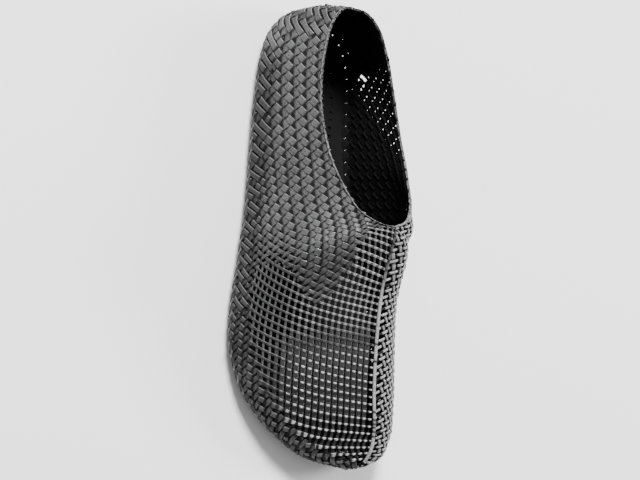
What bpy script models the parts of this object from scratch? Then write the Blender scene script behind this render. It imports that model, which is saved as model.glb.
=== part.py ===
"""Woven barefoot shoe, right foot: tread plate, openwork edge band, woven upper,
collar rim and ridge seam.  Units are metres, +Y runs from heel to toe, +X is the
outer (lateral) side of the foot and +Z is up."""

import bisect
import math

import bmesh
import bpy
from mathutils import Vector

MM = 0.001

# Wall and weave
WALL = 1.8 * MM               # thickness of the woven wall
RAISE_OUTER = 0.45 * MM       # lift where a rising strip passes over
SINK_OUTER = -0.20 * MM       # drop where the crossing strip passes over
PIT = 0.8 * MM                # depth between four crossings, below the strips round it
REAR_ROWS = 20                # weave rows from the heel back to the throat
FRONT_ROWS = 16               # weave rows from the throat to the toe
GIRTH_ROWS = 7                # weave rows from the foot edge to the top line
THROAT = 0.56                 # station of the front end of the collar
GAP_RIM = 1.7 * MM            # strip width left round a cut gap
SLIT_RIM = 0.9 * MM           # strip width left round the long slit
GAP_MIN_AREA = 17.0 * MM * MM
PIT_MIN_AREA = 14.0 * MM * MM
RELIEF_LAST = 0.93            # station where the raised strips flatten out before the toe tip
FIT = 0.3 * MM                # clearance between neighbouring pieces

# Edge band and sole
BAND_INSET = 9.0 * MM         # how far the band turns in under the foot
BAND_LIFT = 0.6 * MM          # band's lower edge above the tread
BAND_LEAN = 0.4               # share of its wall by which the band's edges lean
BAND_CELLS = 50
SOLE_THICK = 4.6 * MM
GROOVE = 1.3 * MM             # depth of the lengthwise grooves
SOLE_RIBS = 6
SOLE_ROWS = BAND_CELLS // 2 - 1
SOLE_END = 1.0 / BAND_CELLS   # station left off at each end of the tread plate
FOOTBED_COLUMNS = 5
TOE_SPRING = 8.5 * MM
TOE_START = 205.0 * MM
TOE_TIP = 268.5 * MM
HEEL_ROUND = 12.0 * MM
HEEL_LIFT = 2.0 * MM
ARCH_RISE = 4.5 * MM
ARCH_CENTRE = 108.0 * MM
ARCH_HALF = 40.0 * MM
ARCH_INNER = -6.0 * MM        # arch starts rising inward of this line
ARCH_OUTER = -28.0 * MM

# Rim and seam
RIM_RADIUS = 1.0 * MM
SEAM_RADIUS = 0.9 * MM
SEAM_LIFT = 1.75 * MM
SEAM_LAST = 0.985

COLUMNS = ("station", "edge_x", "edge_y", "edge_z", "top_x", "top_y", "top_z",
           "lean", "low", "high")

# One row for each section of the lateral side, in millimetres and degrees.  The edge is
# where the wall leaves the band; the top is the collar line back to front, then the ridge.
LATERAL = (
    (0.00, 0.0, 0.0, 9.0, 0.0, 9.0, 53.0, 74, 0.40, 0.30),
    (0.05, 14.5, 4.0, 9.0, 5.5, 10.5, 53.5, 74, 0.40, 0.30),
    (0.10, 25.0, 14.0, 9.0, 12.5, 18.5, 53.5, 74, 0.40, 0.30),
    (0.17, 32.0, 31.0, 9.0, 17.5, 34.0, 53.0, 74, 0.40, 0.30),
    (0.25, 35.5, 52.0, 9.0, 20.5, 55.0, 52.5, 72, 0.40, 0.30),
    (0.34, 38.5, 78.0, 9.0, 20.5, 83.5, 55.0, 66, 0.40, 0.32),
    (0.43, 41.0, 106.0, 9.0, 16.2, 111.2, 62.6, 50, 0.42, 0.36),
    (0.50, 43.5, 128.0, 9.0, 6.8, 133.2, 72.6, 30, 0.44, 0.42),
    (0.54, 46.0, 141.5, 9.0, -4.5, 139.3, 76.3, 14, 0.45, 0.46),
    (0.56, 47.0, 148.0, 9.0, -12.0, 140.5, 77.3, 6, 0.46, 0.48),
    (0.66, 52.5, 180.0, 9.0, -15.5, 171.0, 59.0, 2, 0.50, 0.52),
    (0.76, 52.5, 208.0, 9.5, -18.5, 200.0, 48.0, 0, 0.52, 0.55),
    (0.85, 43.0, 233.0, 11.5, -22.0, 228.0, 40.0, 0, 0.54, 0.55),
    (0.92, 25.0, 252.5, 13.0, -25.5, 248.0, 34.5, 0, 0.56, 0.55),
    (0.97, 3.0, 264.5, 13.5, -26.0, 260.0, 29.5, 0, 0.58, 0.55),
    (1.00, -21.0, 268.5, 13.5, -25.0, 266.0, 24.0, 0, 0.58, 0.55),
)
# The same for the medial side, which shares the heel line, the ridge and the toe line.
MEDIAL = (
    (0.00, 0.0, 0.0, 9.0, 0.0, 9.0, 53.0, 74, 0.40, 0.30),
    (0.05, -14.5, 4.0, 9.0, -10.5, 11.0, 54.0, 74, 0.40, 0.30),
    (0.10, -25.0, 14.0, 9.0, -18.5, 18.5, 54.5, 74, 0.40, 0.30),
    (0.17, -31.0, 31.0, 9.0, -24.0, 34.0, 55.0, 74, 0.40, 0.30),
    (0.25, -31.0, 52.0, 9.5, -27.0, 55.0, 56.5, 72, 0.40, 0.30),
    (0.34, -29.0, 78.0, 11.5, -28.5, 83.0, 60.5, 68, 0.40, 0.32),
    (0.43, -29.0, 106.0, 12.5, -28.0, 109.5, 68.0, 58, 0.40, 0.34),
    (0.50, -32.0, 128.0, 11.5, -24.0, 130.5, 75.5, 40, 0.36, 0.36),
    (0.54, -36.0, 141.5, 10.1, -18.5, 137.8, 76.9, 16, 0.29, 0.36),
    (0.56, -38.0, 148.0, 9.5, -12.0, 140.5, 77.3, 6, 0.26, 0.36),
    (0.66, -45.0, 180.0, 9.0, -15.5, 171.0, 59.0, 2, 0.22, 0.38),
    (0.76, -47.5, 208.0, 9.5, -18.5, 200.0, 48.0, 0, 0.28, 0.44),
    (0.85, -48.0, 233.0, 11.5, -22.0, 228.0, 40.0, 0, 0.36, 0.50),
    (0.92, -45.5, 252.0, 13.0, -25.5, 248.0, 34.5, 0, 0.42, 0.52),
    (0.97, -36.5, 264.0, 13.5, -26.0, 260.0, 29.5, 0, 0.50, 0.55),
    (1.00, -21.0, 268.5, 13.5, -25.0, 266.0, 24.0, 0, 0.58, 0.55),
)

# Fields of cut gaps: side, first and last station, first and last height
GAP_FIELDS = (
    (MEDIAL, 0.13, 0.32, 0.40, 0.88),
    (LATERAL, 0.67, 0.87, 0.55, 0.96),
)
SLIT_STATION, SLIT_HEIGHT = 0.207, 0.22


def column_slopes(table):
    """Slope of every column at every row, for a smooth curve through the rows."""
    slopes = []
    last = len(table) - 1
    for row in range(len(table)):
        before, after = table[max(row - 1, 0)], table[min(row + 1, last)]
        here = table[row]
        if row in (0, last):
            step = after[0] - before[0]
            slopes.append([(b - a) / step for a, b in zip(before[1:], after[1:])])
            continue
        back, ahead = here[0] - before[0], after[0] - here[0]
        slopes.append([((h - a) / back * ahead + (b - h) / ahead * back) / (back + ahead)
                       for a, h, b in zip(before[1:], here[1:], after[1:])])
    return slopes


SLOPES = {id(table): column_slopes(table) for table in (LATERAL, MEDIAL)}


def section(table, station):
    """Interpolated row of a table as a dictionary of named columns."""
    station = min(max(station, 0.0), 1.0)
    keys = [row[0] for row in table]
    low = min(bisect.bisect_right(keys, station) - 1, len(table) - 2)
    step = keys[low + 1] - keys[low]
    t = (station - keys[low]) / step
    start, end = (2 * t - 3) * t * t + 1, (3 - 2 * t) * t * t
    rise, fall = ((t - 2) * t + 1) * t * step, (t - 1) * t * t * step
    slopes = SLOPES[id(table)]
    values = [start * a + end * b + rise * da + fall * db
              for a, b, da, db in zip(table[low][1:], table[low + 1][1:],
                                      slopes[low], slopes[low + 1])]
    return dict(zip(COLUMNS[1:], values))


def foot_edge(table, station):
    row = section(table, station)
    return Vector((row["edge_x"], row["edge_y"], row["edge_z"])) * MM


def top_line(table, station):
    """Collar line of one side, then the ridge, which is midway between both sides' curves."""
    sides = (table,) if station < THROAT else (LATERAL, MEDIAL)
    rows = [section(side, station) for side in sides]
    return sum((Vector((r["top_x"], r["top_y"], r["top_z"])) for r in rows), Vector()) * (MM / len(rows))


def wall_point(table, station, height):
    """Point on the outside of the wall; height runs from 0 at the edge to 1 at the top."""
    row = section(table, station)
    foot, top = foot_edge(table, station), top_line(table, station)
    span = top - foot
    level = Vector((span.x, span.y, 0.0)).normalized()
    lean = math.radians(row["lean"])
    towards = level * math.cos(lean) + Vector((0.0, 0.0, math.sin(lean)))
    lower = foot + Vector((0.0, 0.0, 1.25 * row["low"] * span.z))
    upper = top - towards * (row["high"] * span.length)
    rest = 1.0 - height
    return (rest ** 3 * foot + 3.0 * rest * rest * height * lower
            + 3.0 * rest * height * height * upper + height ** 3 * top)


def rim_direction(table, station):
    """Direction in which the wall climbs at its top line."""
    return (top_line(table, station) - wall_point(table, station, 0.93)).normalized()


def inward(table, station):
    """Level direction from the foot edge towards the middle of the foot."""
    reach = 0.004
    along = foot_edge(table, min(station + reach, 1.0)) - foot_edge(table, max(station - reach, 0.0))
    side = Vector((-along.y, along.x, 0.0)).normalized()
    if station < 2.0 * reach:
        return Vector((0.0, 1.0, 0.0))
    if station > 1.0 - 2.0 * reach:
        return Vector((0.0, -1.0, 0.0))
    return side if table is LATERAL else -side


def tread(x, y):
    """Height of the underside: level at heel and ball, raised at arch, toe and heel back."""
    lift = TOE_SPRING * (max(y - TOE_START, 0.0) / (TOE_TIP - TOE_START)) ** 2
    lift += HEEL_LIFT * (max(HEEL_ROUND - y, 0.0) / HEEL_ROUND) ** 2
    along = max(1.0 - ((y - ARCH_CENTRE) / ARCH_HALF) ** 2, 0.0)
    across = min(max((ARCH_INNER - x) / (ARCH_INNER - ARCH_OUTER), 0.0), 1.0)
    return lift + ARCH_RISE * along * along * across * across


def perimeter(turn):
    """Side table and station for a turn 0..1 round the sole: lateral side out, medial back."""
    turn = turn % 1.0
    return (LATERAL, 2.0 * turn) if turn <= 0.5 else (MEDIAL, 2.0 - 2.0 * turn)


def mapped_grid(columns, rows, place):
    """Grid whose vertices are moved to place(u, v), with u and v running 0..1."""
    mesh = bmesh.new()
    bmesh.ops.create_grid(mesh, x_segments=columns, y_segments=rows, size=0.5)
    for vertex in mesh.verts:
        u = round((vertex.co.x + 0.5) * columns) / columns
        v = round((vertex.co.y + 0.5) * rows) / rows
        vertex.co = place(u, v)
    return mesh


def point_outwards(mesh, centre):
    """Turn an open shell's faces away from a point inside it."""
    bmesh.ops.recalc_face_normals(mesh, faces=mesh.faces)
    mesh.normal_update()
    outward = sum(f.normal.dot(f.calc_center_median() - centre) * f.calc_area() for f in mesh.faces)
    if outward < 0.0:
        bmesh.ops.reverse_faces(mesh, faces=mesh.faces)
    mesh.normal_update()


def clear_scene():
    for old in list(bpy.data.objects):
        bpy.data.objects.remove(old, do_unlink=True)


def material(name, colour, roughness):
    made = bpy.data.materials.new(name)
    made.use_nodes = True
    shader = made.node_tree.nodes["Principled BSDF"]
    shader.inputs["Base Color"].default_value = (*colour, 1.0)
    shader.inputs["Roughness"].default_value = roughness
    shader.inputs["Metallic"].default_value = 0.0
    return made


def add_object(name, data, colour, roughness, collection):
    made = bpy.data.objects.new(name, data)
    data.materials.append(material(name + "_rubber", colour, roughness))
    collection.objects.link(made)
    return made


def add_shell(name, mesh, thickness, colour, roughness, collection):
    """Object from an open surface, thickened inwards."""
    data = bpy.data.meshes.new(name)
    mesh.to_mesh(data)
    mesh.free()
    made = add_object(name, data, colour, roughness, collection)
    solid = made.modifiers.new("Wall", "SOLIDIFY")
    solid.thickness = thickness
    solid.offset = -1.0
    solid.use_even_offset = False
    return made


def sink_cells(shell, outside, layer_name, depth):
    """Fix the shell's thickness and press a pit into the outside of every marked cell."""
    graph = bpy.context.evaluated_depsgraph_get()
    thick = bmesh.new()
    thick.from_mesh(shell.evaluated_get(graph).to_mesh())
    shell.evaluated_get(graph).to_mesh_clear()
    marks = thick.faces.layers.int[layer_name]
    thick.faces.ensure_lookup_table()
    cells = [thick.faces[index] for index in range(outside)]
    cells = [face for face in cells
             if face[marks] and len(face.verts) == 4 and face.calc_area() > PIT_MIN_AREA]
    bmesh.ops.poke(thick, faces=cells, offset=-depth, center_mode="MEAN")
    shell.modifiers.clear()
    thick.to_mesh(shell.data)
    thick.free()
    return shell


def station_of(row):
    """Station of a weave row, with one row landing exactly on the throat."""
    if row <= REAR_ROWS:
        return THROAT * row / REAR_ROWS
    return THROAT + (1.0 - THROAT) * (row - REAR_ROWS) / FRONT_ROWS


def woven_panel(table):
    """One side of the upper as a net of diagonal cells.  Every corner of a cell is a
    crossing of two strips: grid corners carry the rising strip on top, and are lifted,
    cell middles carry the other strip on top, and are sunk."""
    rows = REAR_ROWS + FRONT_ROWS
    net = bmesh.new()
    bmesh.ops.create_grid(net, x_segments=rows, y_segments=GIRTH_ROWS, size=0.5)
    square_edges = [e for e in net.edges if len(e.link_faces) == 2]
    bmesh.ops.poke(net, faces=net.faces[:])
    bmesh.ops.dissolve_edges(net, edges=square_edges, use_verts=False)
    lift = net.verts.layers.float.new("lift")
    along = net.verts.layers.float.new("station")
    climb = net.verts.layers.float.new("height")
    cell = net.faces.layers.int.new("cell")
    for face in net.faces:
        face[cell] = 1
    for vertex in net.verts:
        u, v = (vertex.co.x + 0.5) * rows, (vertex.co.y + 0.5) * GIRTH_ROWS
        over = abs(u - round(u)) < 0.1
        whole = int(round(u - (0.0 if over else 0.5)))
        station = station_of(whole) if over else 0.5 * (station_of(whole) + station_of(whole + 1))
        height = v / GIRTH_ROWS
        on_border = min(v, GIRTH_ROWS - v, u, rows - u) < 0.1 or station > RELIEF_LAST
        vertex[lift] = 0.0 if on_border else (RAISE_OUTER if over else SINK_OUTER)
        vertex[along], vertex[climb] = station, height
        vertex.co = wall_point(table, station, height)
    return net, lift, along, climb


def gap_faces(net, table, along, climb):
    """Cells of one panel that are cut through, and the one that becomes the slit."""
    chosen, slit, nearest = [], None, 1.0
    for face in net.faces:
        if len(face.verts) != 4 or face.calc_area() < GAP_MIN_AREA:
            continue
        station = sum(v[along] for v in face.verts) / 4.0
        height = sum(v[climb] for v in face.verts) / 4.0
        away = abs(station - SLIT_STATION) + abs(height - SLIT_HEIGHT)
        if table is MEDIAL and away < nearest:
            nearest, slit = away, face
        for side, first, last, low, high in GAP_FIELDS:
            if side is table and first <= station <= last and low <= height <= high:
                chosen.append(face)
    return [f for f in chosen if f is not slit], slit


def cut_gaps(net, faces, rim):
    """Open the middle of each cell and leave a plain rim of strip round it."""
    cell = net.faces.layers.int["cell"]
    rims = bmesh.ops.inset_individual(net, faces=faces, thickness=rim, use_even_offset=True)
    for face in rims["faces"]:
        face[cell] = 0
    bmesh.ops.delete(net, geom=faces, context="FACES")


def build_upper(collection):
    """Both woven sides, cut, welded along heel, ridge and toe, and given their wall."""
    whole = bmesh.new()
    for table in (LATERAL, MEDIAL):
        net, lift, along, climb = woven_panel(table)
        point_outwards(net, Vector((-0.004, 0.12, 0.02)))
        raised = [(vertex, vertex.normal * vertex[lift]) for vertex in net.verts]
        for vertex, shift in raised:
            vertex.co += shift
        gaps, slit = gap_faces(net, table, along, climb)
        cut_gaps(net, gaps, GAP_RIM)
        if slit is not None and slit.is_valid:
            cut_gaps(net, [slit], SLIT_RIM)
        half = bpy.data.meshes.new("side")
        net.to_mesh(half)
        net.free()
        whole.from_mesh(half)
        bpy.data.meshes.remove(half)
    bmesh.ops.remove_doubles(whole, verts=whole.verts, dist=0.02 * MM)
    point_outwards(whole, Vector((-0.004, 0.12, 0.02)))
    outside = len(whole.faces)
    upper = add_shell("upper", whole, WALL, (0.035, 0.035, 0.038), 0.62, collection)
    return sink_cells(upper, outside, "cell", PIT)


def band_point(turn, across):
    """Outside of the edge band: across runs from its top edge to its edge under the foot."""
    table, station = perimeter(turn)
    edge = foot_edge(table, station)
    low = edge + inward(table, station) * BAND_INSET
    bottom = tread(low.x, low.y) + BAND_LIFT
    angle = 0.5 * math.pi * across
    point = edge.lerp(low, 1.0 - math.cos(angle))
    top = edge.z - FIT - BAND_LEAN * WALL
    point.z = top - (top - bottom) * math.sin(angle)
    return point


def build_band(collection):
    """Openwork band with a row of cells, each between two upright bars."""
    steps, rows = 2 * BAND_CELLS, 3
    band = mapped_grid(steps, rows, lambda u, v: band_point(u, v))
    bmesh.ops.remove_doubles(band, verts=band.verts, dist=0.02 * MM)
    cells = [(face, face.calc_center_median()) for face in band.faces]
    middle = []
    for step in range(0, steps, 2):
        mark = sum((band_point((step + a) / steps, (1 + b) / rows)
                    for a in (0, 1) for b in (0, 1)), Vector()) / 4.0
        middle.append(min(cells, key=lambda item: (item[1] - mark).length_squared)[0])
    bmesh.ops.delete(band, geom=list(set(middle)), context="FACES")
    point_outwards(band, Vector((0.0, 0.13, 0.03)))
    return add_shell("edge_band", band, WALL, (0.045, 0.045, 0.048), 0.6, collection)


def sole_profile():
    """Columns across the tread plate: share of the width and whether the column is a groove."""
    share = 1.0 / (3 * SOLE_RIBS - 1)
    columns = []
    for rib in range(SOLE_RIBS):
        start = 3 * rib * share
        columns += [(start, False), (start + 2 * share, False)]
        if rib < SOLE_RIBS - 1:
            columns += [(start + 2.25 * share, True), (start + 2.75 * share, True)]
    return columns


def build_sole(collection):
    """Tread plate inside the band: ribs and grooves below, smooth footbed above."""
    under = sole_profile()
    over = [index / (FOOTBED_COLUMNS - 1) for index in range(FOOTBED_COLUMNS)]
    around = len(under) + len(over)
    inset = BAND_INSET + FIT + BAND_LEAN * WALL

    def place(u, v):
        station = SOLE_END + (1.0 - 2.0 * SOLE_END) * v
        outer = foot_edge(LATERAL, station) + inward(LATERAL, station) * inset
        inner = foot_edge(MEDIAL, station) + inward(MEDIAL, station) * inset
        index = int(round(u * around)) % around
        if index < len(under):
            share, groove = under[index]
            point = outer.lerp(inner, share)
            point.z = tread(point.x, point.y) + (GROOVE if groove else 0.0)
        else:
            point = inner.lerp(outer, over[index - len(under)])
            point.z = tread(point.x, point.y) + SOLE_THICK
        return point

    plate = mapped_grid(around, SOLE_ROWS, place)
    bmesh.ops.remove_doubles(plate, verts=plate.verts, dist=0.005 * MM)
    ends = [e for e in plate.edges if e.is_boundary]
    bmesh.ops.holes_fill(plate, edges=ends, sides=0)
    bmesh.ops.triangulate(plate, faces=[f for f in plate.faces if len(f.verts) > 4])
    bmesh.ops.recalc_face_normals(plate, faces=plate.faces)
    data = bpy.data.meshes.new("sole")
    plate.to_mesh(data)
    plate.free()
    return add_object("sole", data, (0.10, 0.10, 0.105), 0.6, collection)


def cord(name, points, radius, closed, colour, roughness, collection):
    """Round strip along a line of points, as a closed mesh."""
    curve = bpy.data.curves.new(name, "CURVE")
    curve.dimensions = "3D"
    curve.bevel_depth = radius
    curve.bevel_resolution = 0
    curve.use_fill_caps = not closed
    line = curve.splines.new("POLY")
    line.points.add(len(points) - 1)
    for spot, point in zip(line.points, points):
        spot.co = (*point, 1.0)
    line.use_cyclic_u = closed
    guide = bpy.data.objects.new(name + "_line", curve)
    collection.objects.link(guide)
    shape = bpy.data.meshes.new_from_object(guide.evaluated_get(bpy.context.evaluated_depsgraph_get()))
    bpy.data.objects.remove(guide, do_unlink=True)
    solid = bmesh.new()
    solid.from_mesh(shape)
    bmesh.ops.remove_doubles(solid, verts=solid.verts, dist=0.01 * MM)
    bmesh.ops.recalc_face_normals(solid, faces=solid.faces)
    solid.to_mesh(shape)
    solid.free()
    shape.name = name
    shape.materials.clear()
    return add_object(name, shape, colour, roughness, collection)


def build_rim(collection):
    """Binding round the collar, just clear of the wall's cut edge."""
    steps = REAR_ROWS
    loop = []
    for table, order in ((LATERAL, range(0, steps)), (MEDIAL, range(steps, 0, -1))):
        for step in order:
            station = THROAT * step / steps
            climb = rim_direction(table, station)
            if step in (0, steps):
                other = rim_direction(MEDIAL if table is LATERAL else LATERAL, station)
                climb = (climb + other).normalized()
                if step == steps:
                    climb = (climb + Vector((0.0, -1.2, 0.5))).normalized()
            clear = FIT * (2.0 + 4.0 * (step / steps) ** 5)
            loop.append(top_line(table, station) + climb * (RIM_RADIUS + clear))
    return cord("collar_rim", loop, RIM_RADIUS, True, (0.16, 0.16, 0.165), 0.5, collection)


def build_seam(collection):
    """Raised strip on the ridge, from behind the collar rim's front to the toe."""
    steps = 22
    first = THROAT + 0.02
    line = []
    for step in range(steps + 1):
        station = first + (SEAM_LAST - first) * step / steps
        ahead = top_line(LATERAL, station + 0.01) - top_line(LATERAL, station - 0.01)
        across = wall_point(LATERAL, station, 0.97) - wall_point(MEDIAL, station, 0.97)
        normal = across.cross(ahead).normalized()
        if normal.z < 0.0:
            normal = -normal
        line.append(top_line(LATERAL, station) + normal * SEAM_LIFT)
    return cord("ridge_seam", line, SEAM_RADIUS, False, (0.2, 0.2, 0.205), 0.5, collection)


def centre_on_floor(parts):
    """Move every piece so the origin is under the middle of the shoe, on the floor."""
    graph = bpy.context.evaluated_depsgraph_get()
    low, high = Vector((1.0,) * 3), Vector((-1.0,) * 3)
    for part in parts:
        shape = part.evaluated_get(graph).to_mesh()
        for vertex in shape.vertices:
            for axis in range(3):
                low[axis] = min(low[axis], vertex.co[axis])
                high[axis] = max(high[axis], vertex.co[axis])
        part.evaluated_get(graph).to_mesh_clear()
    shift = Vector((-0.5 * (low.x + high.x), -0.5 * (low.y + high.y), -low.z))
    for part in parts:
        for vertex in part.data.vertices:
            vertex.co += shift


def main():
    clear_scene()
    shoe = bpy.data.collections.new("woven_barefoot_shoe")
    bpy.context.scene.collection.children.link(shoe)
    parts = [build_sole(shoe), build_band(shoe), build_upper(shoe), build_rim(shoe), build_seam(shoe)]
    centre_on_floor(parts)
    for part in parts:
        part.data.shade_smooth()
        part.data.set_sharp_from_angle(angle=math.radians(40.0))


main()
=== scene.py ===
"""Look of a woven barefoot shoe: strips of matt rubber plaited over the last, an open
edge band, a barred tread, the collar's cut edge and the ridge strip, on a pale floor."""

import math

import bmesh
import bpy
import numpy as np
from bpy.props import FloatProperty, FloatVectorProperty, IntProperty, PointerProperty
from bpy.types import Operator, Panel, PropertyGroup
from mathutils import Matrix, Vector


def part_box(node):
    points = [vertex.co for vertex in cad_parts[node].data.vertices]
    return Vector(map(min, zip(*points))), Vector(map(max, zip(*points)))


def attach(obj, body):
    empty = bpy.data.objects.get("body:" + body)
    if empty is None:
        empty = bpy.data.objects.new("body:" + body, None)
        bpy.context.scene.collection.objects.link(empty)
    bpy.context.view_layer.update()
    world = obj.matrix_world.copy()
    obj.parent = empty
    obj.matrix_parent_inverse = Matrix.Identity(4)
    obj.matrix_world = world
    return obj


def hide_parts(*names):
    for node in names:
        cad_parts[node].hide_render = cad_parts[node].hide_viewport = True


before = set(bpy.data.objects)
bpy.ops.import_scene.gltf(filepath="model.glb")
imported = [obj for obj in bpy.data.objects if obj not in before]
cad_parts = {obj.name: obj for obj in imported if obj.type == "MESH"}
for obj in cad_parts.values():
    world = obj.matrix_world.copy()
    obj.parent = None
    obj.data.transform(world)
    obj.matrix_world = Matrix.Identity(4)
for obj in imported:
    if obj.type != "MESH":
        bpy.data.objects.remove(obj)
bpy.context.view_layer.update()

bl_info = {
    "name": "Woven barefoot shoe",
    "version": (1, 0, 0),
    "blender": (4, 5, 0),
    "location": "View3D > Sidebar > Shoe",
    "description": "Plaits the upper, band and tread of a barefoot shoe over its last",
    "category": "Object",
}

MM = 0.001
TINY, TINY_AREA = 1e-9, 1e-12
THROAT = 0.56
SHOE_BODY = "root"
UP, LEVEL = np.array((0.0, 0.0, 1.0)), np.array((1.0, 1.0, 0.0))

# Sections of the last in millimetres and degrees, one row each from heel back to toe tip:
# station, edge x y z, top line x y z, lean, low fullness, high fullness
LATERAL = np.array((
    (0.00, 0.0, 0.0, 9.0, 0.0, 9.0, 53.0, 74, 0.40, 0.30),
    (0.05, 14.5, 4.0, 9.0, 5.5, 10.5, 53.5, 74, 0.40, 0.30),
    (0.10, 25.0, 14.0, 9.0, 12.5, 18.5, 53.5, 74, 0.40, 0.30),
    (0.17, 32.0, 31.0, 9.0, 17.5, 34.0, 53.0, 74, 0.40, 0.30),
    (0.25, 35.5, 52.0, 9.0, 20.5, 55.0, 52.5, 72, 0.40, 0.30),
    (0.34, 38.5, 78.0, 9.0, 20.5, 83.5, 55.0, 66, 0.40, 0.32),
    (0.43, 41.0, 106.0, 9.0, 16.2, 111.2, 62.6, 50, 0.42, 0.36),
    (0.50, 43.5, 128.0, 9.0, 6.8, 133.2, 72.6, 30, 0.44, 0.42),
    (0.54, 46.0, 141.5, 9.0, -4.5, 139.3, 76.3, 14, 0.45, 0.46),
    (0.56, 47.0, 148.0, 9.0, -12.0, 140.5, 77.3, 6, 0.46, 0.48),
    (0.66, 52.5, 180.0, 9.0, -15.5, 171.0, 59.0, 2, 0.50, 0.52),
    (0.76, 52.5, 208.0, 9.5, -18.5, 200.0, 48.0, 0, 0.52, 0.55),
    (0.85, 43.0, 233.0, 11.5, -22.0, 228.0, 40.0, 0, 0.54, 0.55),
    (0.92, 25.0, 252.5, 13.0, -25.5, 248.0, 34.5, 0, 0.56, 0.55),
    (0.97, 3.0, 264.5, 13.5, -26.0, 260.0, 29.5, 0, 0.58, 0.55),
    (1.00, -21.0, 268.5, 13.5, -25.0, 266.0, 24.0, 0, 0.58, 0.55),
))
MEDIAL = np.array((
    (0.00, 0.0, 0.0, 9.0, 0.0, 9.0, 53.0, 74, 0.40, 0.30),
    (0.05, -14.5, 4.0, 9.0, -10.5, 11.0, 54.0, 74, 0.40, 0.30),
    (0.10, -25.0, 14.0, 9.0, -18.5, 18.5, 54.5, 74, 0.40, 0.30),
    (0.17, -31.0, 31.0, 9.0, -24.0, 34.0, 55.0, 74, 0.40, 0.30),
    (0.25, -31.0, 52.0, 9.5, -27.0, 55.0, 56.5, 72, 0.40, 0.30),
    (0.34, -29.0, 78.0, 11.5, -28.5, 83.0, 60.5, 68, 0.40, 0.32),
    (0.43, -29.0, 106.0, 12.5, -28.0, 109.5, 68.0, 58, 0.40, 0.34),
    (0.50, -32.0, 128.0, 11.5, -24.0, 130.5, 75.5, 40, 0.36, 0.36),
    (0.54, -36.0, 141.5, 10.1, -18.5, 137.8, 76.9, 16, 0.29, 0.36),
    (0.56, -38.0, 148.0, 9.5, -12.0, 140.5, 77.3, 6, 0.26, 0.36),
    (0.66, -45.0, 180.0, 9.0, -15.5, 171.0, 59.0, 2, 0.22, 0.38),
    (0.76, -47.5, 208.0, 9.5, -18.5, 200.0, 48.0, 0, 0.28, 0.44),
    (0.85, -48.0, 233.0, 11.5, -22.0, 228.0, 40.0, 0, 0.36, 0.50),
    (0.92, -45.5, 252.0, 13.0, -25.5, 248.0, 34.5, 0, 0.42, 0.52),
    (0.97, -36.5, 264.0, 13.5, -26.0, 260.0, 29.5, 0, 0.50, 0.55),
    (1.00, -21.0, 268.5, 13.5, -25.0, 266.0, 24.0, 0, 0.58, 0.55),
))
EDGE, TOP = slice(0, 3), slice(3, 6)
LEAN, LOW, HIGH = slice(6, 7), slice(7, 8), slice(8, 9)
LOW_REACH = 1.25
LAST_MIDDLE = np.array((-4.0, 120.0, 20.0))
EDGE_STATIONS, EDGE_REACH = 101, 0.004

# Underside of the shoe, in millimetres
TOE_START, TOE_TIP, TOE_SPRING = 205.0, 268.5, 8.5
HEEL_ROUND, HEEL_LIFT = 12.0, 2.0
ARCH_CENTRE, ARCH_HALF, ARCH_RISE = 108.0, 40.0, 4.5
ARCH_INNER, ARCH_OUTER = -6.0, -28.0


def smooth(value, low, high):
    """Soft step from 0 at low to 1 at high; low may be the larger one."""
    t = np.clip((value - low) / (high - low), 0.0, 1.0)
    return t * t * (3.0 - 2.0 * t)


def hump(value, centre, half):
    """Soft bump of height 1 at the centre."""
    return np.exp(-((value - centre) / half) ** 2)


def unit(vectors):
    """Vectors brought to length 1."""
    return vectors / np.maximum(np.linalg.norm(vectors, axis=-1, keepdims=True), TINY)


def tangents(place):
    """Directions along a line of points."""
    return unit(np.gradient(place, axis=0))


def rounded(vectors, turns):
    """Unit vectors round a ring, evened with their neighbours."""
    for _ in range(turns):
        vectors = unit(vectors + np.roll(vectors, 1, axis=0) + np.roll(vectors, -1, axis=0))
    return vectors


def evened(values, count):
    """Running mean over an odd count of values."""
    return np.convolve(np.pad(values, count // 2, mode="edge"), np.ones(count) / count, mode="valid")


def row_slopes(table):
    """Slope of each column at each row, for a smooth curve through the sections."""
    station, value = table[:, 0], table[:, 1:]
    step = np.diff(station)[:, None]
    rise = np.diff(value, axis=0) / step
    inner = (rise[:-1] * step[1:] + rise[1:] * step[:-1]) / (step[:-1] + step[1:])
    return np.concatenate([rise[:1], inner, rise[-1:]])


def sections(table, station):
    """Columns of the last at any stations."""
    station = np.clip(station, 0.0, 1.0)
    keys, value, slope = table[:, 0], table[:, 1:], row_slopes(table)
    low = np.clip(np.searchsorted(keys, station, side="right") - 1, 0, len(keys) - 2)
    step = (keys[low + 1] - keys[low])[..., None]
    t = (station - keys[low])[..., None] / step
    return ((2 * t - 3) * t * t + 1) * value[low] + (3 - 2 * t) * t * t * value[low + 1] \
        + ((t - 2) * t + 1) * t * step * slope[low] + (t - 1) * t * t * step * slope[low + 1]


def top_line(table, station):
    """Collar line of one side, then the ridge shared by both sides."""
    own = sections(table, station)[..., TOP]
    both = 0.5 * (sections(LATERAL, station)[..., TOP] + sections(MEDIAL, station)[..., TOP])
    return np.where((station < THROAT)[..., None], own, both)


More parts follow.
